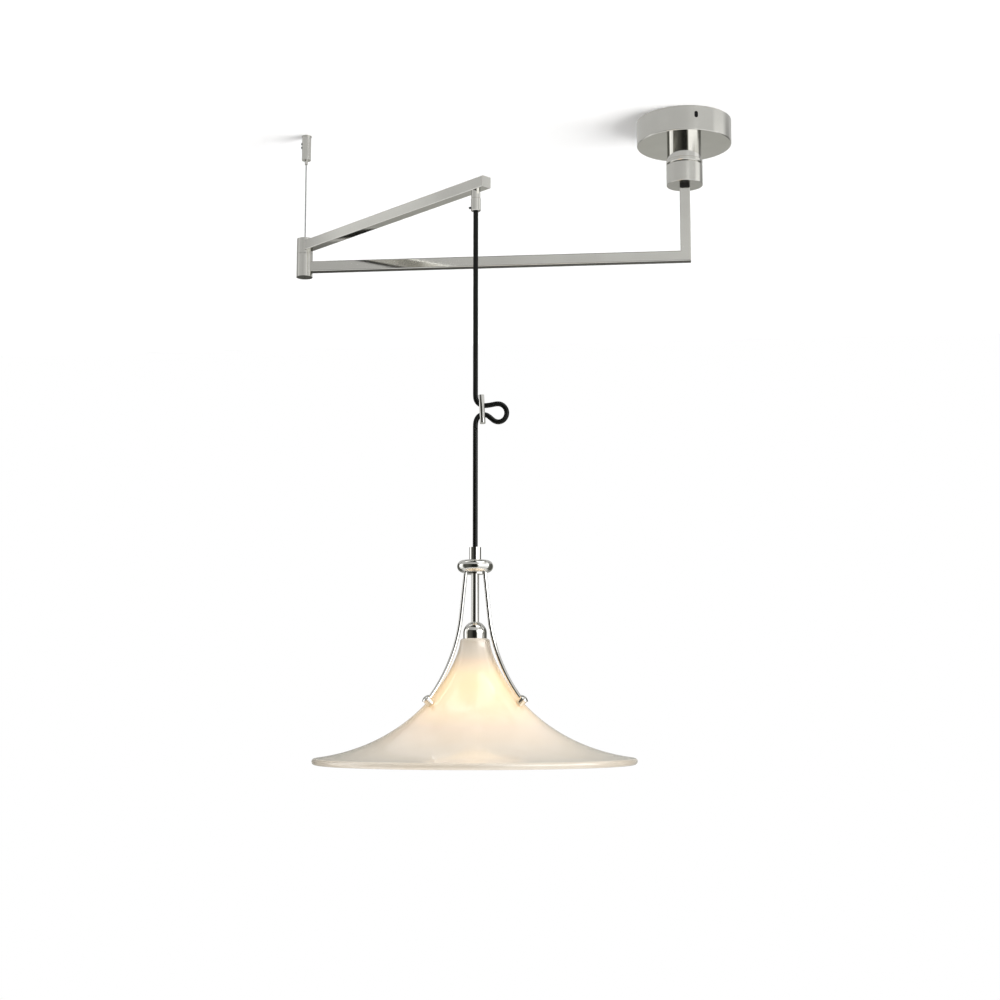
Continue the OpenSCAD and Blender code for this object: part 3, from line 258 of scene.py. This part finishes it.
def length_of(path):
    """Sum of the distances between neighbours."""
    return float(np.linalg.norm(np.diff(path, axis=0), axis=1).sum())


print("upper cord with loop", round(length_of(hang_route), 4), "m, lower cord",
      round(length_of(drop_route), 4), "m")

# %% [markdown]
# The part above the loop and the loop itself are one piece, which swings with the cord. The
# part below shortens when the shade is raised; here it is made as a plain piece.

# %% Cord pieces
cord_hang = swept("cord_hang", hang_route, cord_d / 2, 24, loop_side)
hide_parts("cord_upper", "cord_loop")
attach(cord_hang, "hanging_cord")

cord_drop = swept("cord_drop", drop_route, cord_d / 2, 24, loop_side)
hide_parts("cord_lower")
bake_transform(cord_drop)
print("cords made")

# %% [markdown]
# ## The steel cable
# A thin wire rope holds the knuckle up. Its real form is six strands twisted round a core, so
# the tube's radius has six lobes, and the lobes turn as they go down: one turn in 14 mm.

# %% Cable
knuckle_x = -lower_arm * mm
cable_top, cable_end, cable_steps, one_turn = -43 * mm, -164 * mm, 260, 14 * mm
core_part, lobe_part = 0.86, 0.14
cable_z = np.linspace(cable_top, cable_end, cable_steps)
turn = np.linspace(0, 2 * np.pi, 36, endpoint=False)
lobes = np.abs(np.cos(3 * (turn[None, :] - 2 * np.pi * cable_z[:, None] / one_turn)))
cable_r = (core_part + lobe_part * lobes) * mm
cable_grid = np.stack([knuckle_x + cable_r * np.cos(turn), cable_r * np.sin(turn),
                       np.broadcast_to(cable_z[:, None], cable_r.shape)], -1)
cable = surface("wire_rope", cable_grid, flip=True)
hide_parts("suspension_cable")
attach(cable, "lower_arm")

# %% [markdown]
# Inside the gripper a small spring pushes the wedge cone down on the cable. When the nipple
# is pressed, the cone rises by 2 mm and the spring gives way.

# %% Gripper spring
spring_lo, spring_hi = (np.array(v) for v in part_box("gripper_spring"))
wire_r, turns = 0.3 * mm, 4
spring_r = (spring_hi[0] - spring_lo[0]) / 2 - wire_r
spring_h = float(spring_hi[2] - spring_lo[2])
step = np.linspace(0, 1, 161)
turn = 2 * np.pi * turns * step
outward = np.stack([np.cos(turn), np.sin(turn), 0 * turn], 1)
helix = spring_r * outward + np.array([knuckle_x, 0, spring_lo[2] + wire_r])
helix[:, 2] += (spring_h - 2 * wire_r) * step
a = np.linspace(0, 2 * np.pi, 10, endpoint=False)
round_wire = (np.cos(a)[None, :, None] * outward[:, None]
              - np.sin(a)[None, :, None] * np.array([0, 0, 1.0]))
spring = surface("spring_wire", helix[:, None] + wire_r * round_wire)
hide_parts("gripper_spring")
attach(spring, "lower_arm")
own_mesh(spring)
print("spring", round(spring_h * 1000, 1), "mm high,", turns, "turns")

# %% [markdown]
# ## Metal finishes
# The arms and the canopy are steel, polished and then nickel plated. The arms were brushed
# along before that, and fine lines are left which draw a reflection out across them. The neck,
# sleeve, disc and wires are mirror chrome. Plated steel is a metal, so it keeps the default
# IOR and gets its look from its base colour and its roughness. Brush lines are 0.1 mm wide in
# reality, which is too fine for the picture, so they are drawn at 0.5 mm.

# %% Brushed nickel
def brushed(name, along, colour="#E3E2DD", turned_by=0.0, rough=0.08, spread=0.025, lines=1800):
    """Noise stretched along one axis: its scale across is lines per metre, along it 1/60."""
    material, tree, shader = finish(name, Metallic=1.0)
    where = add(tree, "TexCoord").outputs["Object"]
    turn = add(tree, "Mapping", {"Vector": where, "Rotation": (0, 0, turned_by)})
    scale = [lines] * 3
    scale["xyz".index(along)] = lines / 60
    stretch = add(tree, "Mapping", {"Vector": turn.outputs[0], "Scale": scale})
    streak = add(tree, "TexNoise", {"Vector": stretch.outputs[0], "Scale": 1.0, "Detail": 3.0})
    cloud = add(tree, "TexNoise", {"Vector": where, "Scale": 18.0, "Detail": 2.0})
    dull = add(tree, "MapRange", {"Value": streak.outputs[0], "To Min": rough - spread,
                                  "To Max": rough + spread})
    shade = add(tree, "ValToRGB", {"Fac": cloud.outputs[0]},
                stops={0.35: darker(colour, 0.95), 0.7: colour}).outputs[0]
    bump = add(tree, "Bump", {"Height": streak.outputs[0], "Strength": 0.008, "Distance": 0.0001})
    give(shader, tree, Base_Color=shade, Roughness=dull.outputs[0], Normal=bump.outputs[0])
    return material


brushed_x = brushed("brushed nickel along the lower arm", "x")
brushed_u = brushed("brushed nickel along the upper arm", "x", turned_by=elbow_turn)
brushed_z = brushed("brushed nickel on upright tube", "z")
print("brushed nickel ready")

# %% [markdown]
# Turned and spun pieces show rings instead of lines. Noise that depends only on the distance
# from the piece's own axis and on the height gives that, and a Mapping node moves the axis.

# %% Spun and turned metal
def spun(name, centre, colour="#E3E2DD", rough=0.2, spread=0.03, lines=1500, strength=0.04):
    """Noise that depends only on the distance from centre and on height, so it makes rings."""
    material, tree, shader = finish(name, Metallic=1.0)
    where = add(tree, "TexCoord").outputs["Object"]
    moved = add(tree, "Mapping", {"Vector": where,
                                  "Location": (-centre[0], -centre[1], 0)})
    parts = add(tree, "SeparateXYZ", {"Vector": moved.outputs[0]})
    flat = add(tree, "CombineXYZ", {"X": parts.outputs[0], "Y": parts.outputs[1]})
    out = add(tree, "VectorMath", {0: flat.outputs[0]}, operation="LENGTH")
    ring = add(tree, "CombineXYZ", {"X": out.outputs["Value"], "Z": parts.outputs[2]})
    rings = add(tree, "TexNoise", {"Vector": ring.outputs[0], "Scale": float(lines),
                                   "Detail": 2.0})
    cloud = add(tree, "TexNoise", {"Vector": where, "Scale": 25.0, "Detail": 2.0})
    dull = add(tree, "MapRange", {"Value": rings.outputs[0], "To Min": rough - spread,
                                  "To Max": rough + spread})
    shade = add(tree, "ValToRGB", {"Fac": cloud.outputs[0]},
                stops={0.35: darker(colour, 0.95), 0.7: colour}).outputs[0]
    bump = add(tree, "Bump", {"Height": rings.outputs[0], "Strength": strength,
                              "Distance": 0.0001})
    give(shader, tree, Base_Color=shade, Roughness=dull.outputs[0], Normal=bump.outputs[0])
    return material


canopy_finish = spun("spun polished nickel", (0, 0), rough=0.1)
collar_finish = spun("turned nickel collar", (0, 0), rough=0.2)
knuckle_finish = spun("turned nickel knuckle", (knuckle_x, 0), rough=0.09)
gripper_finish = spun("turned nickel gripper", (knuckle_x, 0), rough=0.09)
grip_finish = spun("turned nickel grip", cord_axis, rough=0.07)
print("turned metals ready")

# %% [markdown]
# Mirror chrome is not perfectly even. Faint cloudy patches change the roughness a little, and
# that is what tells the eye it is metal and not a mirror of glass.

# %% Mirror chrome and plain metals
def plated(name, colour, rough, spread=0.03, size=45.0):
    """Cloudy noise with patches about 1/size metres wide moves the roughness up and down."""
    material, tree, shader = finish(name, Metallic=1.0)
    where = add(tree, "TexCoord").outputs["Object"]
    cloud = add(tree, "TexNoise", {"Vector": where, "Scale": size, "Detail": 4.0})
    dull = add(tree, "MapRange", {"Value": cloud.outputs[0], "To Min": max(0.02, rough - spread),
                                  "To Max": rough + spread})
    shade = add(tree, "ValToRGB", {"Fac": cloud.outputs[0]},
                stops={0.3: darker(colour, 0.96), 0.7: colour}).outputs[0]
    give(shader, tree, Base_Color=shade, Roughness=dull.outputs[0])
    return material


chrome = plated("mirror chrome plate", "#E4E3DF", 0.05)
zinc = plated("zinc plated steel", "#A7A9AB", 0.38, 0.08, 160.0)
rope_steel = plated("drawn stainless wire", "#A9AAAC", 0.25, 0.05, 300.0)
brass = plated("turned brass", "#B9975B", 0.3, 0.06, 120.0)
dark_steel = plated("blackened screw steel", "#2A2B2D", 0.45, 0.08, 200.0)
bracket_steel = plated("blackened steel plate", "#2B2B2B", 0.5, 0.08, 90.0)
print("chrome and plain metals ready")

# %% [markdown]
# ## Plastics and rubber
# The cord's jacket is extruded black PVC. It is smooth with a soft shine, and extrusion leaves
# faint lines along it. The bushes are moulded black polyamide with a dull fine grain. The
# terminal block and the lamp's insert are pale ceramic and plastic.

# %% Cord jacket, mouldings and ceramic
def moulded(name, colour, rough, grain=900.0, strength=0.15, shine=0.5):
    """Fine noise as grain: it moves roughness by a few hundredths and lifts a slight bump."""
    material, tree, shader = finish(name)
    where = add(tree, "TexCoord").outputs["Object"]
    fine = add(tree, "TexNoise", {"Vector": where, "Scale": grain, "Detail": 2.0})
    broad = add(tree, "TexNoise", {"Vector": where, "Scale": grain / 20, "Detail": 2.0})
    dull = add(tree, "MapRange", {"Value": fine.outputs[0], "To Min": rough - 0.06,
                                  "To Max": rough + 0.06})
    shade = add(tree, "ValToRGB", {"Fac": broad.outputs[0]},
                stops={0.3: darker(colour, 0.9), 0.7: colour}).outputs[0]
    bump = add(tree, "Bump", {"Height": fine.outputs[0], "Strength": strength,
                              "Distance": 0.0001})
    give(shader, tree, Base_Color=shade, Roughness=dull.outputs[0], Normal=bump.outputs[0],
         Specular_IOR_Level=shine)
    return material


jacket = moulded("extruded cord jacket", "#0D0F0C", 0.26, 1400.0, 0.05, shine=0.22)
black_nylon = moulded("moulded black polyamide", "#141414", 0.5)
white_jacket = moulded("white lead jacket", "#E4E2DC", 0.45)
ceramic = moulded("glazed steatite", "#ECE8DC", 0.3, 500.0, 0.05)
fibre = moulded("soft fibre washer", "#DCDAD2", 0.7)
print("plastics ready")

# %% [markdown]
# ## The bell of cased glass
# The shade is blown in two layers: opal inside and a thick clear casing outside, drawn out
# into a wide bell and fire-polished at the lip. The same curve as in the solid model is worked
# out here, on a finer grid. Clear glass over a lit body is slow to compute, and all that shows
# of it is its gloss, so the casing is a clear coat on the opal.

# %% Bell curve
shade_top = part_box("shade_glass")[1][2] / mm
neck_r, rim_r, shade_h, shoulder, glass, lip = 19.0, 204, 157.4, 4.0, 4.7, 8.0
neck_pull, brim_pull = 16, 143
lip_mid = np.array([rim_r - lip / 2, shade_top - shade_h + lip / 2])
slope = math.radians(7.6)
bell_a = np.array([neck_r, shade_top - shoulder])
bell_d = lip_mid + lip / 2 * np.array([math.sin(slope), math.cos(slope)])
bell_b = bell_a - [0, neck_pull]
bell_c = bell_d - brim_pull * np.array([math.cos(slope), -math.sin(slope)])


def bell(u):
    """Cubic Bezier from neck to lip: (1-u)^3 a + 3(1-u)^2 u b + 3(1-u) u^2 c + u^3 d."""
    u = np.asarray(u, float)[:, None]
    return ((1 - u) ** 3 * bell_a + 3 * (1 - u) ** 2 * u * bell_b
            + 3 * (1 - u) * u ** 2 * bell_c + u ** 3 * bell_d)


def bell_normal(u):
    """The tangent of bell(u) turned left by a right angle and brought to length 1."""
    u = np.asarray(u, float)[:, None]
    t = (3 * (1 - u) ** 2 * (bell_b - bell_a) + 6 * (1 - u) * u * (bell_c - bell_b)
         + 3 * u ** 2 * (bell_d - bell_c))
    t /= np.linalg.norm(t, axis=1)[:, None]
    return np.stack([-t[:, 1], t[:, 0]], 1)


def bell_thick(u):
    """Wall in mm: thin along the bell and swelling to the lip as u to the sixth power."""
    return glass + (lip - glass) * np.asarray(u, float) ** 6


u = np.linspace(0, 1, 90)
outside = bell(u)
inside = bell(u) - bell_thick(u)[:, None] * bell_normal(u)
a = np.linspace(math.pi / 2, 0, 9)[:-1]
shoulder_arc = np.stack([neck_r - shoulder + shoulder * np.cos(a),
                         shade_top - shoulder + shoulder * np.sin(a)], 1)
a = np.linspace(math.pi / 2 - slope, -math.pi / 2 - slope, 17)[1:-1]
lip_arc = lip_mid + lip / 2 * np.stack([np.cos(a), np.sin(a)], 1)
stem_hole_r = 5.75
profile = np.vstack([[(stem_hole_r, shade_top)], shoulder_arc, outside, lip_arc, inside[::-1],
                     [(neck_r - glass, shade_top - glass), (stem_hole_r, shade_top - glass)]])
print("bell from", round(shade_top, 1), "to", round(profile[:, 1].min(), 1), "mm, rim radius",
      round(profile[:, 0].max(), 1))

# %% Bell piece
bell_piece = turned("bell_shade", profile[::-1] * mm, cord_axis, 160)
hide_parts("shade_glass")
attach(bell_piece, "pendant")
print(len(bell_piece.data.polygons), "faces")

# %% [markdown]
# The lamp's light through the opal layer is painted as an emission glow. It is brightest where
# the bulb is closest and falls off towards the rim, so the glow is a function of the distance
# from the bulb's centre: yellow near the bulb and greyer further out. The lampholder's shadow on
# the neck is painted as well: a second function, of height alone, takes the glow away there.

# %% Opal glass with a painted glow
bulb_r, bulb_low_z = 22.5 * mm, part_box("bulb_glass")[0][2]
bulb_centre = (float(cord_axis[0]), float(cord_axis[1]), float(bulb_low_z + bulb_r))
opal, tree, shader = finish("opal glass under a clear casing")
where = add(tree, "TexCoord").outputs["Object"]
to_bulb = add(tree, "VectorMath", {0: where, 1: bulb_centre}, operation="SUBTRACT")
away = add(tree, "VectorMath", {0: to_bulb.outputs[0]}, operation="LENGTH")
nearest, farthest = 35, 200
near = add(tree, "MapRange", {"Value": away.outputs["Value"], "From Min": nearest * mm,
                              "From Max": farthest * mm})
glow_at = {50: "#C49A4E", 60: "#BC9450", 75: "#AD8B58", 100: "#866C50", 150: "#5D503F",
           200: "#453C30"}
# Painted light: the emission colour falls with the distance from the bulb, in place of the bulb's
# light through the opal.
painted_light_colour = add(tree, "ValToRGB", {"Fac": near.outputs[0]}, stops={
    (away_mm - nearest) / (farthest - nearest): code for away_mm, code in glow_at.items()})
height = add(tree, "SeparateXYZ", {"Vector": where})
covered_z, open_z = -0.778, -0.822
# Painted shadow of the lampholder: the painted glow is cut down to a tenth above covered_z.
painted_holder_shadow = add(tree, "MapRange", {"Value": height.outputs[2], "From Min": covered_z,
                                 "From Max": open_z, "To Min": 0.1, "To Max": 1.0},
              interpolation_type="SMOOTHSTEP")
painted_glow = add(tree, "VectorMath", {0: painted_light_colour.outputs[0], "Scale": painted_holder_shadow.outputs[0]},
           operation="SCALE")
wisp = add(tree, "TexNoise", {"Vector": where, "Scale": 14.0, "Detail": 2.0})
tone = add(tree, "ValToRGB", {"Fac": wisp.outputs[0]},
           stops={0.3: "#E9DDCB", 0.7: "#EFE5D6"}).outputs[0]
give(shader, tree, Base_Color=tone, Roughness=0.28, Coat_Weight=1.0, Coat_Roughness=0.07,
     Emission_Color=painted_glow.outputs[0], Emission_Strength=1.0)
bell_piece.data.materials.append(opal)
print("opal glass ready")

# %% [markdown]
# ## Frosted bulb
# The globe is acid-frosted glass, lit. It gives the light that falls on the shade's inside and
# on whatever stands below.

# %% Bulb glass
bulb, tree, shader = finish("frosted bulb glass", Base_Color="#FFF6E2", Roughness=0.5)
where = add(tree, "TexCoord").outputs["Object"]
frost = add(tree, "TexNoise", {"Vector": where, "Scale": 700.0, "Detail": 2.0})
warm = add(tree, "ValToRGB", {"Fac": frost.outputs[0]},
           stops={0.3: "#FFE3B0", 0.7: "#FFEBC4"}).outputs[0]
give(shader, tree, Emission_Color=warm, Emission_Strength=3.0)
print("bulb ready")

# %% [markdown]
# ## Which piece has which finish
# Each CAD node keeps its shape and gets its finish here. The printed line shows that none is
# left out. The pieces made above get theirs last.

# %% Dress the CAD nodes
wears = {
    canopy_finish: ["canopy_cover"],
    collar_finish: ["swivel_collar", "bearing_ring"],
    chrome: ["bearing_neck", "release_nipple", "cord_adjuster", "pendant_sleeve",
             "holder_disc", "disc_plate", "stem", "support_wires", "knob_spacers",
             "knob_screws", "knob_nuts", "dome_cover"],
    brushed_x: ["lower_arm_tube"],
    brushed_z: ["drop_tube", "lampholder_shell"],
    brushed_u: ["upper_arm_tube", "end_plug"],
    knuckle_finish: ["knuckle_lower", "knuckle_upper", "knuckle_cap"],
    gripper_finish: ["gripper_sleeve"],
    grip_finish: ["grip_nipple", "cord_grip"],
    bracket_steel: ["ceiling_bracket"],
    zinc: ["backing_plate", "neck_screws", "swivel_spindle", "arm_stud",
           "cable_ball", "gripper_base", "gripper_spring"],
    dark_steel: ["canopy_screws", "knuckle_keeper", "gripper_screws", "grip_screw",
                 "sleeve_screw"],
    rope_steel: ["suspension_cable"],
    brass: ["spindle_nut", "gripper_chuck", "nipple_nut", "bulb_cap"],
    black_nylon: ["insulating_bush", "flex_bush"],
    jacket: ["cord_upper", "cord_loop", "cord_lower"],
    white_jacket: ["supply_lead", "lower_lead", "upper_lead", "pendant_lead"],
    ceramic: ["terminal_block", "lampholder_insert"],
    fibre: ["friction_washer", "glass_washers"],
    opal: ["shade_glass"],
    bulb: ["bulb_glass"],
}
for material, names in wears.items():
    for name in names:
        nodes[name].data.materials.clear()
        nodes[name].data.materials.append(material)
dressed = {name for names in wears.values() for name in names}
print("dressed", len(dressed), "of", len(nodes), "left", sorted(set(nodes) - dressed))
cord_hang.data.materials.append(jacket)
cord_drop.data.materials.append(jacket)
cable.data.materials.append(rope_steel)
spring.data.materials.append(zinc)

# %% [markdown]
# ## Studio
# The lamp hangs in front of white, so the world is white to the camera. Polished metal shows
# what is round it, and here that is a studio: dark where the camera and its stand are, white
# screens on both sides with dark gaps beside them, and a bright floor. The screens and gaps
# change only with the direction round about, so a thin chrome wire shows them along its
# whole length. High on the right is a window, much brighter than the screens, which puts the
# white light on the glass of the bell and fades towards the top.
#
# From the sides and from above, the arms would mirror white screens in front of a white
# background. So the screens are held down where one looks slightly down at them, apart from a
# narrow strip which the neck mirrors. Only rays that really arrive at the world take its
# light: it isn't sampled as a lamp.

# %% World
world = bpy.data.worlds.new("studio")
bpy.context.scene.world = world
world.use_nodes = True
world.cycles.sampling_method = "NONE"
tree = world.node_tree
tree.nodes.clear()


def round_ramp(tree, x, y, to_right, to_left):
    """A grey that changes with the direction round about: atan2(x, y), from -pi to pi, becomes
    0 to 1. Degrees count from the camera's side, and each list gives (degrees, brightness)."""
    turn = add(tree, "Math", {0: x, 1: y}, operation="ARCTAN2")
    part = add(tree, "MapRange", {"Value": turn.outputs[0], "From Min": -math.pi,
                                  "From Max": math.pi})
    stops = {**{1 - a / 360: v for a, v in to_right}, **{a / 360: v for a, v in to_left}}
    return add(tree, "ValToRGB", {"Fac": part.outputs[0]}, stops=stops).outputs[0]


screen, held, window_light = 1.6, 0.7, 3.4
look = add(tree, "TexCoord").outputs["Generated"]
parts = add(tree, "SeparateXYZ", {"Vector": look})
bands = round_ramp(
    tree, parts.outputs[0], parts.outputs[1],
    [(0, 0.015), (17, 0.015), (20, 0.12), (25, 0.25), (31, screen), (98, screen), (104, 0.4),
     (113, 0.12), (152, 0.1), (160, 0.35), (180, 0.44)],
    [(0, 0.015), (14, 0.015), (18, 0.05), (45, 0.1), (70, 0.08), (78, 0.3), (86, screen),
     (112, screen), (118, 0.1), (150, 0.14), (157, 0.3)])
above = add(tree, "MapRange", {"Value": parts.outputs[2], "From Min": -0.25, "From Max": -0.08,
                               "To Min": held, "To Max": screen})
below = add(tree, "MapRange", {"Value": parts.outputs[2], "From Min": -0.32, "From Max": -0.29,
                               "To Min": screen, "To Max": held})
deep = add(tree, "MapRange", {"Value": parts.outputs[2], "From Min": -0.42, "From Max": -0.38,
                              "To Min": held, "To Max": screen})
strip = add(tree, "Math", {0: below.outputs[0], 1: deep.outputs[0]}, operation="MINIMUM")
limit = add(tree, "Math", {0: above.outputs[0], 1: strip.outputs[0]}, operation="MAXIMUM")
bands = add(tree, "Math", {0: bands, 1: limit.outputs[0]}, operation="MINIMUM").outputs[0]
olive = add(tree, "Mix", {0: bands, 6: (1.0, 1.0, 0.88, 1), 7: (1, 1, 1, 1)}, data_type="RGBA")
tinted = add(tree, "Mix", {0: 1.0, 6: bands, 7: olive.outputs[2]}, data_type="RGBA",
             blend_type="MULTIPLY")
rise = add(tree, "MapRange", {"Value": parts.outputs[2], "From Min": 0.08, "From Max": 0.2,
                              "To Max": window_light})
sink = add(tree, "MapRange", {"Value": parts.outputs[2], "From Min": 0.78, "From Max": 0.9,
                              "To Min": 1.0, "To Max": 0.0})
glare = add(tree, "Math", {0: rise.outputs[0], 1: sink.outputs[0]}, operation="MULTIPLY")
window = add(tree, "Mix", {0: 1.0, 6: glare.outputs[0], 7: round_ramp(
    tree, parts.outputs[0], parts.outputs[1], [(0, 0), (18, 0), (45, 1), (100, 1), (108, 0),
                                               (180, 0)], [(0, 0)])},
    data_type="RGBA", blend_type="MULTIPLY")
upper = add(tree, "Mix", {0: 1.0, 6: tinted.outputs[2], 7: window.outputs[2]},
            data_type="RGBA", blend_type="ADD")
fall = add(tree, "MapRange", {"Value": parts.outputs[2], "From Min": -0.55, "From Max": -0.75})
lower = add(tree, "Mix", {0: fall.outputs[0], 6: upper.outputs[2], 7: (0.87, 0.87, 0.86, 1)},
            data_type="RGBA")
print("bands and floor ready")

# %% [markdown]
# The underside of the lower arm shows a dark line along the back of the room: the far edge of
# the floor, about 16 degrees below the horizon and only behind the lamp.

# %% Dark line behind
near_line = add(tree, "MapRange", {"Value": parts.outputs[2], "From Min": -0.32,
                                   "From Max": -0.22})
line = add(tree, "ValToRGB", {"Fac": near_line.outputs[0]},
           stops={0.32: 1, 0.4: 0.08, 0.76: 0.08, 0.86: 1})
behind = add(tree, "MapRange", {"Value": parts.outputs[1], "From Min": 0.84, "From Max": 0.9})
studio = add(tree, "Mix", {0: behind.outputs[0], 6: lower.outputs[2], 7: line.outputs[0]},
             data_type="RGBA", blend_type="MULTIPLY")
path = add(tree, "LightPath")
plain = add(tree, "Background", {"Color": (1, 1, 1, 1), "Strength": 1.0})
soft = add(tree, "Background", {"Color": (1, 1, 1, 1), "Strength": 0.55})
shiny = add(tree, "Background", {"Color": studio.outputs[2], "Strength": 1.0})
first = add(tree, "MixShader", {0: path.outputs["Is Glossy Ray"], 1: soft.outputs[0],
                                2: shiny.outputs[0]})
seen = add(tree, "Math", {0: path.outputs["Is Camera Ray"],
                          1: path.outputs["Is Transmission Ray"]}, operation="MAXIMUM")
second = add(tree, "MixShader", {0: seen.outputs[0], 1: first.outputs[0], 2: plain.outputs[0]})
add(tree, "OutputWorld", {"Surface": second.outputs[0]})
print("world ready")

# %% [markdown]
# Above the lamp is a white ceiling, which takes its soft shadow. Seen from above it is clear,
# so that the lamp can be looked at from there too. A pale floor lies far below, outside the
# picture. Floor and ceiling let the lamps' light pass, and metal doesn't show them, because
# the screens that it shows are in the world already.

# %% Ceiling and floor
def stage_piece(name, points, faces, material):
    """A mesh of the studio, which is no part of the lamp."""
    mesh = bpy.data.meshes.new(name)
    mesh.from_pydata(points, [], faces)
    piece = bpy.data.objects.new(name, mesh)
    bpy.context.collection.objects.link(piece)
    mesh.materials.append(material)
    return piece


plaster, tree, shader = finish("white plaster", Base_Color="#F5F5F5", Specular_IOR_Level=0.0)
grain = add(tree, "TexNoise", {"Vector": add(tree, "TexCoord").outputs["Object"],
                               "Scale": 300.0})
rough = add(tree, "MapRange", {"Value": grain.outputs[0], "To Min": 0.85, "To Max": 0.95})
give(shader, tree, Roughness=rough.outputs[0])
from_above = add(tree, "NewGeometry").outputs["Backfacing"]
clear = add(tree, "BsdfTransparent")
one_way = add(tree, "MixShader", {0: from_above, 1: shader.outputs[0], 2: clear.outputs[0]})
tree.links.new(one_way.outputs[0], tree.nodes["Material Output"].inputs["Surface"])
ceiling_z, floor_z = 0.0005, -2.6
ceiling = stage_piece("ceiling", [(x, y, ceiling_z) for x, y in (
    (-3.5, 1.4), (3, 1.4), (3, -1.2), (-3.5, -1.2))], [(0, 1, 2, 3)], plaster)
ceiling.visible_shadow = ceiling.visible_glossy = False
floor_paint, tree, shader = finish("pale floor paint", Base_Color="#F5F5F5", Roughness=0.9,
                                   Emission_Color="#FFFFFF")
lift = add(tree, "Math", {0: add(tree, "LightPath").outputs["Is Camera Ray"], 1: 0.48},
           operation="MULTIPLY")
give(shader, tree, Emission_Strength=lift.outputs[0])
floor = stage_piece("floor", [(x, y, floor_z) for x, y in (
    (-6, -6), (6, -6), (6, 4), (-6, 4))], [(0, 1, 2, 3)], floor_paint)
floor.visible_shadow = floor.visible_glossy = False
print("ceiling and floor ready")

# %% [markdown]
# One wide soft lamp low on the right is for the ceiling alone, so that the canopy's shadow
# falls up and to the left. A weak one high on the right lights everything, and most of all
# the bell. A third gives the bell's lip what the floor throws back.

# %% Lamps
def wide_lamp(name, place, power, width, lights=None):
    """A far lamp in the direction of place, seen as width degrees wide. It lights everything,
    or only one named piece, on which everything still throws its shadow."""
    light = bpy.data.lights.new(name, "SUN")
    light.energy, light.angle = power, math.radians(width)
    piece = bpy.data.objects.new(name, light)
    place = Vector(place)
    piece.matrix_world = (Matrix.Translation(place)
                          @ place.to_track_quat("Z", "Y").to_matrix().to_4x4())
    piece.visible_glossy = False
    bpy.context.collection.objects.link(piece)
    if lights:
        group = bpy.data.collections.new(name)
        group.objects.link(lights)
        piece.light_linking.receiver_collection = group


wide_lamp("low lamp", (2.0, -0.5, -1.22), 3.9, 48, ceiling)
wide_lamp("high lamp", (2.0, -0.55, 1.0), 0.75, 40)
wide_lamp("light from the floor", (0.3, -0.5, -1.4), 1.2, 60, bell_piece)
print("stage ready")

# %% [markdown]
# The canopy and the arms hang in the upper part of the studio, where the wall is grey and a
# little brighter to the right, above all low down, where the arms see it. It is a round screen
# that only reflections show. The pendant hangs lower and looks out under it.

# %% Grey upper wall
wall_middle, wall_r, wall_z, sides = (-0.27, -0.1), 1.0, (-0.3, 0.55), 64
a = np.linspace(0, 2 * np.pi, sides, endpoint=False)
ring = np.stack([wall_middle[0] + wall_r * np.cos(a), wall_middle[1] + wall_r * np.sin(a)], 1)
wall_points = [(x, y, z) for z in wall_z for x, y in ring]
wall_faces = [(i, (i + 1) % sides, sides + (i + 1) % sides, sides + i) for i in range(sides)]
wall_paint, tree, shader = finish("grey wall paint", Base_Color="#000000", Roughness=1.0,
                                  Emission_Strength=1.0)
where = add(tree, "Mapping", {"Vector": add(tree, "TexCoord").outputs["Object"],
                              "Location": (-wall_middle[0], -wall_middle[1], 0)})
parts = add(tree, "SeparateXYZ", {"Vector": where.outputs[0]})
high = round_ramp(tree, parts.outputs[0], parts.outputs[1],
                  [(0, 0.55), (20, 0.56), (45, 0.65), (75, 0.66), (110, 0.59), (146, 0.53)],
                  [(0, 0.55), (30, 0.55), (90, 0.52), (150, 0.53)])
low = round_ramp(tree, parts.outputs[0], parts.outputs[1],
                 [(0, 0.58), (17, 0.64), (26, 0.68), (32, 0.9), (42, 0.9), (50, 0.6), (80, 0.62),
                  (86, 1.05), (106, 1.05), (112, 0.6), (118, 0.2), (128, 0.2), (136, 0.54)],
                 [(0, 0.58), (14, 0.52), (34, 0.47), (50, 0.5), (70, 0.52), (84, 0.56), (88, 0.7),
                  (96, 0.7), (102, 0.3), (112, 0.3), (120, 0.55), (150, 0.53)])
level = add(tree, "MapRange", {"Value": parts.outputs[2], "From Min": 0.15, "From Max": 0.3})
grey = add(tree, "Mix", {0: level.outputs[0], 6: low, 7: high}, data_type="RGBA")
warm_grey = add(tree, "Mix", {0: 1.0, 6: grey.outputs[2], 7: (1, 0.998, 0.98, 1)},
                data_type="RGBA", blend_type="MULTIPLY")
give(shader, tree, Emission_Color=warm_grey.outputs[2])
wall = stage_piece("upper wall", wall_points, wall_faces, wall_paint)
wall.visible_camera = wall.visible_diffuse = wall.visible_transmission = False
wall.visible_shadow = False
print("upper wall", 2 * wall_r, "m across and", wall_z[1] - wall_z[0], "m high")

# %% [markdown]
# ## Colour view
# The colours are shown as written, without a film look.

# %% Finish
bpy.context.scene.view_settings.view_transform = "Standard"
